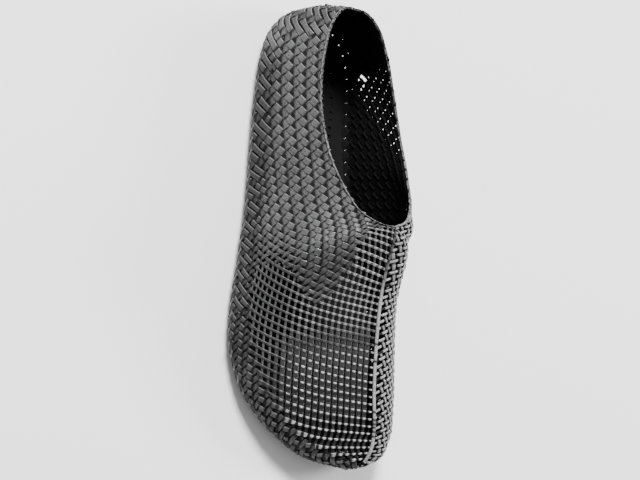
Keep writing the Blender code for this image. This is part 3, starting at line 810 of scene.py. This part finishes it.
# Painted shadow behind each row at the toe tip: share of the row pitch, soft step and strength
ROW_SHADOW_AT, ROW_SHADOW_STEP, ROW_SHADOW_STRENGTH = 0.58, (0.2, 0.1), 0.65
# Stray ends of filament at the outer toe edge: station, height, end away from the wall
FILAMENTS = ((0.689, 0.02, (2.4, -2.2, 0.8)), (0.732, 0.02, (2.0, -2.4, 0.6)),
             (0.735, 0.03, (2.6, -0.6, 0.9)))
FILAMENT_BOW = np.array(((0.0, 0.0, 0.0), (0.45, 0.6, 0.35), (0.8, 0.9, 0.7), (1.0, 1.0, 1.0)))
FILAMENT_HALF, FILAMENT_TONE = 0.16, 0.2

# Inner side, in millimetres, with one long slit along the rising strips
SLIT_ALONG, SLIT_UP, SLIT_LENGTH, SLIT_WIDTH = 41.0, 14.0, 9.5, 4.0
INNER_ZONES = {
    "sheer": ((smooth, "along", 30.0, 44.0), (smooth, "lean", 51.0, 41.0), (smooth, "along", 98.0, 86.0),
              (smooth, "up", 3.0, 8.0)),
    "net": ((smooth, "along", 112.0, 138.0), (smooth, "below_top", -26.0, -16.0)),
    "below_slit": ((hump, "along", 40.0, 7.0), (hump, "up", 9.0, 4.0)),
    "beside_slit": ((hump, "off_slit", 0.0, 3.5), (smooth, "past_slit", 4.0, -1.0)),
    "beside_ridge": ((smooth, "below_top", -5.2, -3.2), (smooth, "along", 158.0, 182.0)),
}
INNER_BLENDS = {
    "rising_half": ({"all": 0.47, "sheer": -0.2, "net": -0.27, "below_slit": -0.12},
                    {"all": 1.0, "beside_slit": -0.15}),
    "falling_half": ({"all": 0.485, "sheer": -0.05, "net": -0.3, "below_slit": -0.12},),
    "rising_rise": ({"all": 0.7, "net": -0.25},),
    "falling_rise": ({"all": 1.35, "net": -0.9},),
    # painted light on the fine net in front
    "rising_painted_light": ({"net": 3.2},),
    "falling_painted_light": ({"net": 2.6},),
    # painted shade on the half of each crossing turned from the light, none in the net
    "fold_shade_share": ({"all": 1.0, "net": -1.0},),
}
FLOAT_INNER, INNER_SAMPLES = 26.0, 5


class SHOE_OT_upper(Operator):
    """Plait both sides of the upper"""

    bl_idname = "shoe.upper"
    bl_label = "Plait upper"

    def execute(self, context):
        own = settings()
        finish = rubber("woven_rubber", own.dark, own.pale)
        tree = strip_tree()
        tones = np.random.default_rng(own.seed).random(TONES)
        self.lateral(tree, finish, tones)
        self.medial(tree, finish, tones)
        return {"FINISHED"}

    def lateral(self, tree, finish, tones):
        """Wide flat strips at the heel and side, opening into a net over the toes."""
        skin, along, up, offset = laid_out(LATERAL)
        laid = up + offset
        rising, columns = self.lateral_fields(along, laid)
        falling = rising - columns
        opened = along - NET_START - NET_BULGE * hump(laid, *NET_BULGE_UP)
        opened = opened + NET_HOLD * smooth(laid, *NET_HOLD_UP)
        zones = zone_fields(OUTER_ZONES, along=along, up=up, laid=laid, opened=opened,
                            below_top=up - up[:, -1:], off_row=rising - np.round(rising))
        zones["leaf"] = np.sin(math.pi * (rising + falling) / LEAF_COUNT) ** 2 \
            * (zones["heel_back"] + LEAF_EDGE * zones["low_edge"])
        mix = blends(OUTER_BLENDS, zones)
        lengthwise, tip = zones["lengthwise"], zones["tip"]
        rising_half = skin.spacing(rising) * mix["rising_half"]
        rising_half = rising_half - tip * np.maximum(rising_half - TIP_RISING, 0.0)
        falling_half = skin.spacing(falling) * mix["falling_half"]
        falling_half = falling_half - tip * np.maximum(falling_half - TIP_FALLING, 0.0)

        def rising_sign(own, crossing, i, j):
            far = skin.at(along, i, j)
            floats = ((skin.at(up, i, j) < FLOAT_UP) & (far < FLOAT_END)) | (far < FLOAT_HEEL)
            return np.where(skin.at(lengthwise, i, j) > 0.5, 1.0, weave_sign(own, crossing, floats))

        def column_keep(i, j):
            return (skin.at(lengthwise, i, j) > COLUMN_KEEP) & (skin.at(along, i, j) < COLUMN_END)

        even_tone = toned(skin, tones, "outer_columns", tone_and_light=mix["column_tone_and_light"])

        def column_tone(own, i, j, lift):
            # painted shadow behind each row at the toe tip
            below_row = np.abs(skin.at(rising, i, j) % 1.0 - ROW_SHADOW_AT)
            gap = skin.at(tip, i, j) * smooth(below_row, *ROW_SHADOW_STEP)
            return even_tone(own, i, j, lift) * (1.0 - ROW_SHADOW_STRENGTH * gap)

        weave = Strands()
        trace_family(skin, weave, rising, falling, rising_half, rising_sign,
                     toned(skin, tones, "outer_rising", tone_and_light=mix["rising_tone_and_light"],
                           highlight=mix["rising_highlight"], under=mix["rising_dive_shade_kept"]),
                     rise=mix["rising_rise"], dip=lengthwise, crown=EDGE_CROWN)
        trace_family(skin, weave, falling, rising, falling_half, opposite(rising_sign),
                     toned(skin, tones, "outer_falling", tone_and_light=mix["falling_tone_and_light"],
                           under=mix["falling_dive_shade_kept"]),
                     keep=lambda i, j: skin.at(lengthwise, i, j) < 0.5,
                     level=False, rise=mix["falling_rise"], fold_shaded=mix["fold_shade_share"])
        trace_family(skin, weave, columns, rising, skin.spacing(columns) * mix["column_half"],
                     lambda own, crossing, i, j: np.full(len(i), -1.0), column_tone,
                     keep=column_keep, rise=COLUMN_RISE, crown=EDGE_CROWN)
        for station, height, end in FILAMENTS:
            hair = wall(LATERAL, station, height) + FILAMENT_BOW * np.array(end)
            turned = np.cross(tangents(hair), UP)
            weave.add(hair, np.cross(turned, tangents(hair)), turned * FILAMENT_HALF, 0.0, FILAMENT_TONE)
        dress(plait("upper_lateral_weave", weave, tree, strip_sizes(finish)), "upper")

    def lateral_fields(self, along, laid):
        """Counts of the rising strips and of the lengthwise columns through their crossings."""
        rising = chart_field(LATERAL_CHART["rising"], along, laid)
        columns = rising - chart_field(LATERAL_CHART["falling"], along, laid)
        first = chart_field(LATERAL_CHART["rising"], COLUMN_ALONG, COLUMN_UP) \
            - chart_field(LATERAL_CHART["falling"], COLUMN_ALONG, COLUMN_UP)
        straight = first + (laid - COLUMN_UP) / COLUMN_PITCH
        columns = columns + smooth(along, *COLUMN_STEP) * (straight - columns)
        lean = ROW_LEAN * np.maximum(ROW_LEAN_TOP - laid, 0.0) ** 2
        return rising - lean * smooth(along, *ROW_LEAN_STEP), columns

    def medial(self, tree, finish, tones):
        """Closer strips with a sheer field at the heel, one long slit, and a fine net in front."""
        skin, along, up, _ = laid_out(MEDIAL)
        rising = chart_field(MEDIAL_CHART["rising"], along, up)
        at_slit = chart_field(MEDIAL_CHART["rising"], SLIT_ALONG, SLIT_UP)
        rising = rising + round(float(at_slit)) + 0.5 - at_slit
        falling = chart_field(MEDIAL_CHART["falling"], along, up)
        past_slit, off_slit = self.from_slit(along, up)
        zones = zone_fields(INNER_ZONES, along=along, up=up, lean=along - up, below_top=up - up[:, -1:],
                            past_slit=past_slit, off_slit=off_slit)
        mix = blends(INNER_BLENDS, zones)

        def rising_sign(own, crossing, i, j):
            return weave_sign(own, crossing, skin.at(along, i, j) < FLOAT_INNER)

        def outside_gaps(i, j):
            past, off = self.from_slit(skin.at(along, i, j), skin.at(up, i, j))
            outside = (past > 0.0) | (np.abs(off) > SLIT_WIDTH / 2)
            return outside & (skin.at(zones["beside_ridge"], i, j) < 0.5)

        weave = Strands()
        trace_family(skin, weave, rising, falling, skin.spacing(rising) * mix["rising_half"], rising_sign,
                     toned(skin, tones, "inner_rising", added_light=mix["rising_painted_light"]),
                     rise=mix["rising_rise"], samples=INNER_SAMPLES)
        trace_family(skin, weave, falling, rising, skin.spacing(falling) * mix["falling_half"],
                     opposite(rising_sign), toned(skin, tones, "inner_falling", added_light=mix["falling_painted_light"]),
                     keep=outside_gaps, level=False, rise=mix["falling_rise"], fold_shaded=mix["fold_shade_share"],
                     samples=INNER_SAMPLES)
        dress(plait("upper_medial_weave", weave, tree, strip_sizes(finish)), "upper")

    def from_slit(self, along, up):
        """Distances past the slit's ends and off its line, which follows the rising strips."""
        a, b = along - SLIT_ALONG, up - SLIT_UP
        return np.abs(a + b) * math.sqrt(0.5) - SLIT_LENGTH / 2, (a - b) * math.sqrt(0.5)


# Tread, in millimetres; its sizes are thickness, lift and depth in metres
SOLE_INSET, TREAD_ENDS, TREAD_CELLS = 9.6, (0.012, 0.988), (420, 160)
TREAD_SIZES, TREAD_SAMPLES = (0.0018, 0.0012, 0.0021), 4
# Bars are counted from a start and close up towards the outer edge, rows slant
BAR_START, BAR_CLOSE, BAR_CLOSE_FROM, ROW_SLANT = 0.31, 0.0028, 18.0, 0.1
# Half width as a share of the pitch, its wave and the wave's turn per millimetre
BAR_HALF, BAR_WAVE, BAR_TURN = 0.28, 0.04, 0.31
ROW_HALF, ROW_WAVE, ROW_TURN = 0.17, 0.03, 0.23
FORE_STEP, FORE_NARROWS = (150.0, 185.0), 0.03
# One crossing in so many has the first lift, the others the second
BAR_LIFTS, ROW_LIFTS = (3, 0.8, 1.0), (2, 0.2, -0.4)
# Footbed: distances in from the foot edge, height, thickness and pinholes
FOOTBED_RIM, FOOTBED_TOP, FOOTBED_THICK = (3.4, 8.0, 11.2, 13.2), 4.5, 1.0
FOOTBED_ROWS, FOOTBED_COLUMNS = 240, 8
PINHOLE_PITCH, PINHOLE_START, PINHOLE_END = 4, 0.10, 0.42


def lift_pattern(every, first, others):
    """Sign of a family with one lift at every so many crossings."""
    return lambda own, crossing, i, j: np.where((own + crossing) % every == 0, first, others)


class SHOE_OT_tread(Operator):
    """Lay the footbed and the lengthwise and cross bars of the tread"""

    bl_idname = "shoe.tread"
    bl_label = "Lay tread"

    def execute(self, context):
        own = settings()
        finish = rubber("tread_rubber", own.dark, own.sole_pale)
        self.bars(own, finish)
        self.footbed(finish)
        return {"FINISHED"}

    def bars(self, own, finish):
        """Lengthwise bars over lower cross bars."""
        along_cells, across_cells = TREAD_CELLS
        station = np.linspace(*TREAD_ENDS, along_cells)
        outer, inner = (sections(table, station)[:, EDGE] + inward(table, station) * SOLE_INSET
                        for table in (LATERAL, MEDIAL))
        share = np.linspace(0.0, 1.0, across_cells)[None, :, None]
        points = outer[:, None, :] * (1 - share) + inner[:, None, :] * share
        points[..., 2] = tread(points[..., 0], points[..., 1])
        skin = Surface(points)
        skin.face(-UP)
        x, y = points[..., 0], points[..., 1]
        bars = x / (own.tread_pitch / MM) + BAR_START + BAR_CLOSE * np.maximum(x - BAR_CLOSE_FROM, 0.0) ** 2
        rows = (y - ROW_SLANT * x) / (own.tread_cross / MM)
        tones = np.random.default_rng(own.seed + 1).random(TONES)
        bar_share = BAR_HALF + BAR_WAVE * np.sin(x * BAR_TURN) - FORE_NARROWS * smooth(y, *FORE_STEP)
        row_share = ROW_HALF + ROW_WAVE * np.sin(y * ROW_TURN)
        lay = Strands()
        trace_family(skin, lay, bars, rows, skin.spacing(bars) * bar_share, lift_pattern(*BAR_LIFTS),
                     toned(skin, tones, "tread_bars"), samples=TREAD_SAMPLES)
        trace_family(skin, lay, rows, bars, skin.spacing(rows) * row_share, lift_pattern(*ROW_LIFTS),
                     toned(skin, tones, "tread_rows"), samples=TREAD_SAMPLES)
        dress(plait("tread_bars", lay, strip_tree(), strip_sizes(finish, TREAD_SIZES)), "sole")

    def footbed(self, finish):
        """Thin floor of the shoe above the bars, with a row of pinholes along its inner side."""
        station = np.linspace(*TREAD_ENDS, FOOTBED_ROWS)
        rims = []
        for table in (LATERAL, MEDIAL):
            edge, towards = sections(table, station)[:, EDGE], inward(table, station)
            rims.append(np.stack([edge + towards * inset for inset in FOOTBED_RIM], axis=1))
        share = np.linspace(0.0, 1.0, FOOTBED_COLUMNS + 1)[1:-1, None]
        middle = rims[0][:, -1:] * (1 - share) + rims[1][:, -1:] * share
        points = np.concatenate([rims[0], middle, rims[1][:, ::-1]], axis=1)
        points[..., 2] = tread(points[..., 0], points[..., 1]) + FOOTBED_TOP
        rows, columns = points.shape[:2]
        count = rows * columns
        index = np.arange(count).reshape(rows, columns)
        faces = np.stack([index[:-1, :-1], index[1:, :-1], index[1:, 1:], index[:-1, 1:]], -1)
        holes = (station[:-1] > PINHOLE_START) & (station[:-1] < PINHOLE_END)
        holes = holes & (np.arange(rows - 1) % PINHOLE_PITCH == 0)
        kept = np.ones(faces.shape[:2], bool)
        kept[holes, columns - len(FOOTBED_RIM)] = False
        top = faces[kept]
        under = top[:, ::-1] + count
        sides = np.concatenate([top[:, [k, (k + 1) % 4]] for k in range(4)])
        low, high = np.sort(sides, axis=1).T
        _, first, uses = np.unique(low * count + high, return_index=True, return_counts=True)
        rim = sides[first[uses == 1]]
        skirt = np.concatenate([rim[:, ::-1], rim + count], axis=1)
        lower = points - FOOTBED_THICK * UP
        places = (np.concatenate([points.reshape(-1, 3), lower.reshape(-1, 3)]) + SHIFT) * MM
        sheet = bpy.data.meshes.new("footbed")
        sheet.from_pydata(places.tolist(), [], np.concatenate([top, under, skirt]).tolist())
        face_out(sheet)
        sheet.materials.append(finish)
        dress(placed("footbed", sheet), "sole")


# Edge band, in millimetres: a quarter round from the foot edge down to the tread
BAND_INSET, BAND_LIFT, BAND_TUCK = 9.0, 0.6, 0.2
BAND_STATIONS, BAND_CELLS_ACROSS, BAND_ROUNDING = 600, 60, 12
# Cells that a strip leans over, start of the count, and half widths as shares of the pitch
BAND_SLANT, BAND_START, FORWARD_HALF, BACKWARD_HALF = 1.5, 0.25, 0.42, 0.40
RAIL_INSET, RAIL_HALF, RAIL_LIFT, RAIL_TONE, RAIL_SAMPLES = 0.04, 0.75, 0.3, 0.6, 2


class SHOE_OT_band(Operator):
    """Twist the strips of the rounded edge band"""

    bl_idname = "shoe.band"
    bl_label = "Twist band"

    def execute(self, context):
        own = settings()
        finish = rubber("band_rubber", own.dark, own.pale)
        edge, skin, across = self.quarter_round()
        run = np.concatenate([[0.0], np.cumsum(np.linalg.norm(np.diff(edge, axis=0), axis=-1))])
        turn = (run / run[-1] * own.band_cells)[:, None] + skin.flat
        v = across[None, :] + skin.flat
        forward, backward = turn + BAND_SLANT * v + BAND_START, turn - BAND_SLANT * v + BAND_START
        rails = 1.0 + (v - RAIL_INSET) / (1.0 - 2.0 * RAIL_INSET)
        tones = np.random.default_rng(own.seed + 2).random(TONES)
        band = Strands()

        def forward_sign(own, crossing, i, j):
            return weave_sign(own, crossing, np.zeros(len(i), bool))

        # both families carry painted shade where they dive under each other
        trace_family(skin, band, forward, backward, skin.spacing(forward) * FORWARD_HALF, forward_sign,
                     toned(skin, tones, "band_forward"))
        trace_family(skin, band, backward, forward, skin.spacing(backward) * BACKWARD_HALF,
                     opposite(forward_sign), toned(skin, tones, "band_backward"), level=False)
        trace_family(skin, band, rails, turn, RAIL_HALF + skin.flat,
                     lambda own, crossing, i, j: np.full(len(i), RAIL_LIFT),
                     lambda own, i, j, lift: np.full(len(i), RAIL_TONE), samples=RAIL_SAMPLES)
        dress(plait("edge_band_strips", band, strip_tree(), strip_sizes(finish)), "edge_band")
        return {"FINISHED"}

    def quarter_round(self):
        """Foot edge all round, the band's skin below it, and shares across the skin."""
        half_turn = np.linspace(0.0, 1.0, BAND_STATIONS)
        sides = [(LATERAL, half_turn), (MEDIAL, half_turn[::-1])]
        edge = np.concatenate([sections(table, station)[:, EDGE] for table, station in sides])
        towards = np.concatenate([inward(table, station) for table, station in sides])
        towards = rounded(towards, BAND_ROUNDING)
        across = np.linspace(0.0, 1.0, BAND_CELLS_ACROSS)
        low = edge + towards * BAND_INSET
        bottom = tread(low[:, 0], low[:, 1]) + BAND_LIFT
        angle = 0.5 * math.pi * across
        cosine, sine = np.cos(angle)[None, :, None], np.sin(angle)[None, :, None]
        points = edge[:, None, :] + (low - edge)[:, None, :] * (1 - cosine)
        start = edge[:, 2] - BAND_TUCK
        points[..., 2] = start[:, None] + (bottom - start)[:, None] * sine[..., 0]
        skin = Surface(points)
        skin.face(-towards[:, None, :] * cosine - sine * UP)
        return edge, skin, across


# Collar's cut edge, in millimetres; its sizes are thickness, lift and depth in metres
COLLAR_CENTRE = np.array((-4.0, 75.0, 55.0))
COLLAR_STATIONS, COLLAR_BELOW, COLLAR_ROUNDING = 150, 0.96, 6
COLLAR_SIZES = (0.001, 0.0, 0.0)
# Rails: inset and tone; frayed spots: reach, station and half length
COLLAR_RAILS, COLLAR_CLIMB = ((0.25, 1.0), (1.05, 0.75)), 0.15
FRAY_PLAIN, FRAYS = 0.09, ((0.22, 0.265, 0.035), (0.12, 0.5, 0.04))
COLLAR_HALF, COLLAR_DARK, COLLAR_SPREAD = 0.28, 0.35, 1.1
# The rails are wider and paler in front
FRONT_REACH, FRONT_HALF, FRONT_GAIN = 0.1, 0.16, 0.7
TIE_EVERY, TIE_INSETS, TIE_CLIMB, TIE_TONE = 4, np.array((0.2, 0.6, 1.1)), 0.1, 0.5

# Ridge strip, by station from the throat to the toe tip
RIDGE_ENDS, RIDGE_POINTS, RIDGE_BELOW = (THROAT + 0.004, 0.995), 320, 0.95
RIDGE_SIZES = (0.0012, 0.0, -0.0001)
# It starts low and dark, with fine cuts, and is raised past the throat
RIDGE_RAISED, RIDGE_HALF, RAISED_HALF = (0.61, 0.69), 0.7, 0.25
RIDGE_TONE, RAISED_TONE = 0.7, 1.9
RIDGE_CUT_PITCH, RIDGE_CUT_HALF, RIDGE_CUT_SHADE = 0.0128, math.sqrt(0.03), 0.9
# Stations of the dark cuts across the raised part
RIDGE_TICKS = (0.764, 0.794, 0.884, 0.899, 0.907, 0.914, 0.923, 0.933)
RIDGE_TICK_HALF, RIDGE_TICK_SHADE = 0.003, 0.97


class SHOE_OT_trim(Operator):
    """Add the collar's cut edge and the ridge strip"""

    bl_idname = "shoe.trim"
    bl_label = "Trim collar and ridge"

    def execute(self, context):
        own = settings()
        finish = rubber("cut_edge_rubber", own.dark, own.edge_pale)
        self.collar(own, finish)
        self.ridge(finish)
        return {"FINISHED"}

    def collar(self, own, finish):
        """Two thin rails along the wall's cut edge, tied by the ends of the strips."""
        station = np.linspace(0.0, THROAT, COLLAR_STATIONS)
        sides = ((LATERAL, station), (MEDIAL, station[::-1]))
        line = np.concatenate([top_line(*side) for side in sides])[:-1]
        climb = unit(line - np.concatenate([wall(*side, COLLAR_BELOW) for side in sides])[:-1])
        step = unit(np.roll(line, -1, axis=0) - np.roll(line, 1, axis=0))
        thick = unit(np.cross(step, climb))
        thick *= np.sign(np.sum(thick * (line - COLLAR_CENTRE) * LEVEL, axis=-1))[:, None]
        thick, climb = rounded(thick, COLLAR_ROUNDING), rounded(climb, COLLAR_ROUNDING)
        draw = np.random.default_rng(own.seed + 3)
        rails = Strands()
        around = np.arange(len(line) + 2) % len(line)
        order = np.concatenate([station, 2.0 * THROAT - station[::-1]])[:-1]
        frayed = FRAY_PLAIN + sum(reach * hump(order, at, half) for reach, at, half in FRAYS)
        front = hump(order, THROAT, FRONT_REACH)
        half = thick * (COLLAR_HALF + FRONT_HALF * front)[:, None]
        for inset, tone in COLLAR_RAILS:
            wobble = (draw.normal(0.0, 1.0, len(line)) * frayed)[:, None]
            path = line - thick * (inset + wobble) + climb * (COLLAR_CLIMB + wobble)
            shade = tone * (COLLAR_DARK + COLLAR_SPREAD * draw.random(len(line))) * (1.0 + FRONT_GAIN * front)
            rails.add(path[around], climb[around], half[around], 0.0, shade[around])
        for k in range(0, len(line), TIE_EVERY):
            tie = line[k] - thick[k] * TIE_INSETS[:, None] + climb[k] * TIE_CLIMB
            rails.add(tie, climb[[k, k, k]], step[[k, k, k]] * COLLAR_HALF, 0.0, TIE_TONE)
        dress(plait("collar_edge", rails, strip_tree(), strip_sizes(finish, COLLAR_SIZES)), "collar_rim")

    def ridge(self, finish):
        """Straight raised strip from the throat to the toe tip."""
        along = np.linspace(*RIDGE_ENDS, RIDGE_POINTS)
        ridge = top_line(LATERAL, along)
        side = unit(wall(LATERAL, along, RIDGE_BELOW) - wall(MEDIAL, along, RIDGE_BELOW))
        out = np.cross(side, tangents(ridge))
        out *= np.sign(out[:, 2:])
        raised = smooth(along, *RIDGE_RAISED)
        cuts = hump((along / RIDGE_CUT_PITCH) % 1.0, 0.5, RIDGE_CUT_HALF) * (1.0 - raised)
        tone = (RIDGE_TONE + RAISED_TONE * raised) * (1.0 - RIDGE_CUT_SHADE * cuts)
        for tick in RIDGE_TICKS:
            tone = tone * (1.0 - RIDGE_TICK_SHADE * hump(along, tick, RIDGE_TICK_HALF))
        strip = Strands()
        strip.add(ridge, out, side * (RIDGE_HALF + RAISED_HALF * raised)[:, None], 0.0, tone)
        dress(plait("ridge_strip", strip, strip_tree(), strip_sizes(finish, RIDGE_SIZES)), "ridge_seam")


# View of the photograph: turned towards the outer side, leaning to the toe, toe down
VIEW_TURN, VIEW_TILT, VIEW_ROLL = math.radians(33.64), math.radians(11.39), math.radians(-0.49)
PIXELS_PER_MM, PICTURE_WIDTH = 1.768, 640.0
SHIFT_RIGHT, SHIFT_UP = 9.9, 17.9  # pixels from the middle of the picture
LENS, SENSOR, FARTHEST = 135.0, 36.0, 20.0
AIM = Vector((0.0, -0.003, 0.034))
# name, direction, distance, size, power
LAMPS = (
    ("key", (0.2, -0.62, 0.76), 2.5, 0.7, 170.0),
    ("side", (-0.85, -0.1, 0.5), 1.8, 0.6, 30.0),
)
AMBIENT = 0.5
FLOOR_HALF, FLOOR_ROUGHNESS = 4.0, 0.9


class SHOE_OT_stage(Operator):
    """Set the floor, the lights and the camera"""

    bl_idname = "shoe.stage"
    bl_label = "Set stage"

    def execute(self, context):
        self.floor()
        self.camera(context.scene)
        self.lights(context.scene)
        return {"FINISHED"}

    def floor(self):
        """Pale paper under the shoe."""
        sheet = bpy.data.meshes.new("floor")
        plane = bmesh.new()
        bmesh.ops.create_grid(plane, x_segments=1, y_segments=1, size=FLOOR_HALF)
        plane.to_mesh(sheet)
        plane.free()
        floor = placed("studio_floor", sheet)
        pale = bpy.data.materials.new("floor_paper")
        pale.use_nodes = True
        shader = pale.node_tree.nodes["Principled BSDF"]
        shader.inputs["Base Color"].default_value = (*settings().floor, 1.0)
        shader.inputs["Roughness"].default_value = FLOOR_ROUGHNESS
        sheet.materials.append(pale)

    def camera(self, scene):
        """Camera at the photograph's angle."""
        side = Vector((math.sin(VIEW_TURN), 0.0, math.cos(VIEW_TURN)))
        forward = Vector((0.0, 1.0, 0.0))
        level = Vector((-math.cos(VIEW_TURN), 0.0, math.sin(VIEW_TURN)))
        back = side * math.cos(VIEW_TILT) + forward * math.sin(VIEW_TILT)
        heel = side * math.sin(VIEW_TILT) - forward * math.cos(VIEW_TILT)
        right = level * math.cos(VIEW_ROLL) + heel * math.sin(VIEW_ROLL)
        up = heel * math.cos(VIEW_ROLL) - level * math.sin(VIEW_ROLL)
        pixel = MM / PIXELS_PER_MM
        target = AIM - right * SHIFT_RIGHT * pixel - up * SHIFT_UP * pixel
        eye = target + back * (PICTURE_WIDTH * pixel * LENS / SENSOR)
        data = bpy.data.cameras.new("photo_camera")
        data.lens, data.sensor_width, data.clip_end = LENS, SENSOR, FARTHEST
        scene.camera = placed("photo_camera", data)
        scene.camera.matrix_world = Matrix((
            (right.x, up.x, back.x, eye.x), (right.y, up.y, back.y, eye.y),
            (right.z, up.z, back.z, eye.z), (0.0, 0.0, 0.0, 1.0)))

    def lights(self, scene):
        """Even pale surroundings and two lamps."""
        world = bpy.data.worlds.new("studio")
        world.use_nodes = True
        sky = world.node_tree.nodes["Background"]
        sky.inputs["Color"].default_value = (1.0, 1.0, 1.0, 1.0)
        sky.inputs["Strength"].default_value = AMBIENT
        scene.world = world
        for name, direction, distance, size, power in LAMPS:
            lamp = bpy.data.lights.new(name, "AREA")
            lamp.size, lamp.energy = size, power
            light = placed(name, lamp)
            towards = Vector(direction).normalized()
            light.location = AIM + towards * distance
            light.rotation_euler = towards.to_track_quat("Z", "Y").to_euler()


class SHOE_PT_panel(Panel):
    """Sizes, colours and steps of the shoe"""

    bl_idname = "SHOE_PT_panel"
    bl_label = "Woven shoe"
    bl_space_type = "VIEW_3D"
    bl_region_type = "UI"
    bl_category = "Shoe"

    def draw(self, context):
        own = settings()
        for name in own.bl_rna.properties.keys():
            if name not in ("rna_type", "name"):
                self.layout.prop(own, name)
        for step in STEPS:
            self.layout.operator(step.bl_idname)


STEPS = (SHOE_OT_upper, SHOE_OT_tread, SHOE_OT_band, SHOE_OT_trim, SHOE_OT_stage)
CLASSES = (ShoeSettings, *STEPS, SHOE_PT_panel)


def register():
    for each in CLASSES:
        bpy.utils.register_class(each)
    bpy.types.Scene.woven_shoe = PointerProperty(type=ShoeSettings)


def unregister():
    del bpy.types.Scene.woven_shoe
    for each in reversed(CLASSES):
        bpy.utils.unregister_class(each)


def main():
    register()
    bpy.ops.shoe.upper()
    bpy.ops.shoe.tread()
    bpy.ops.shoe.band()
    bpy.ops.shoe.trim()
    bpy.ops.shoe.stage()


if __name__ == "__main__":
    main()
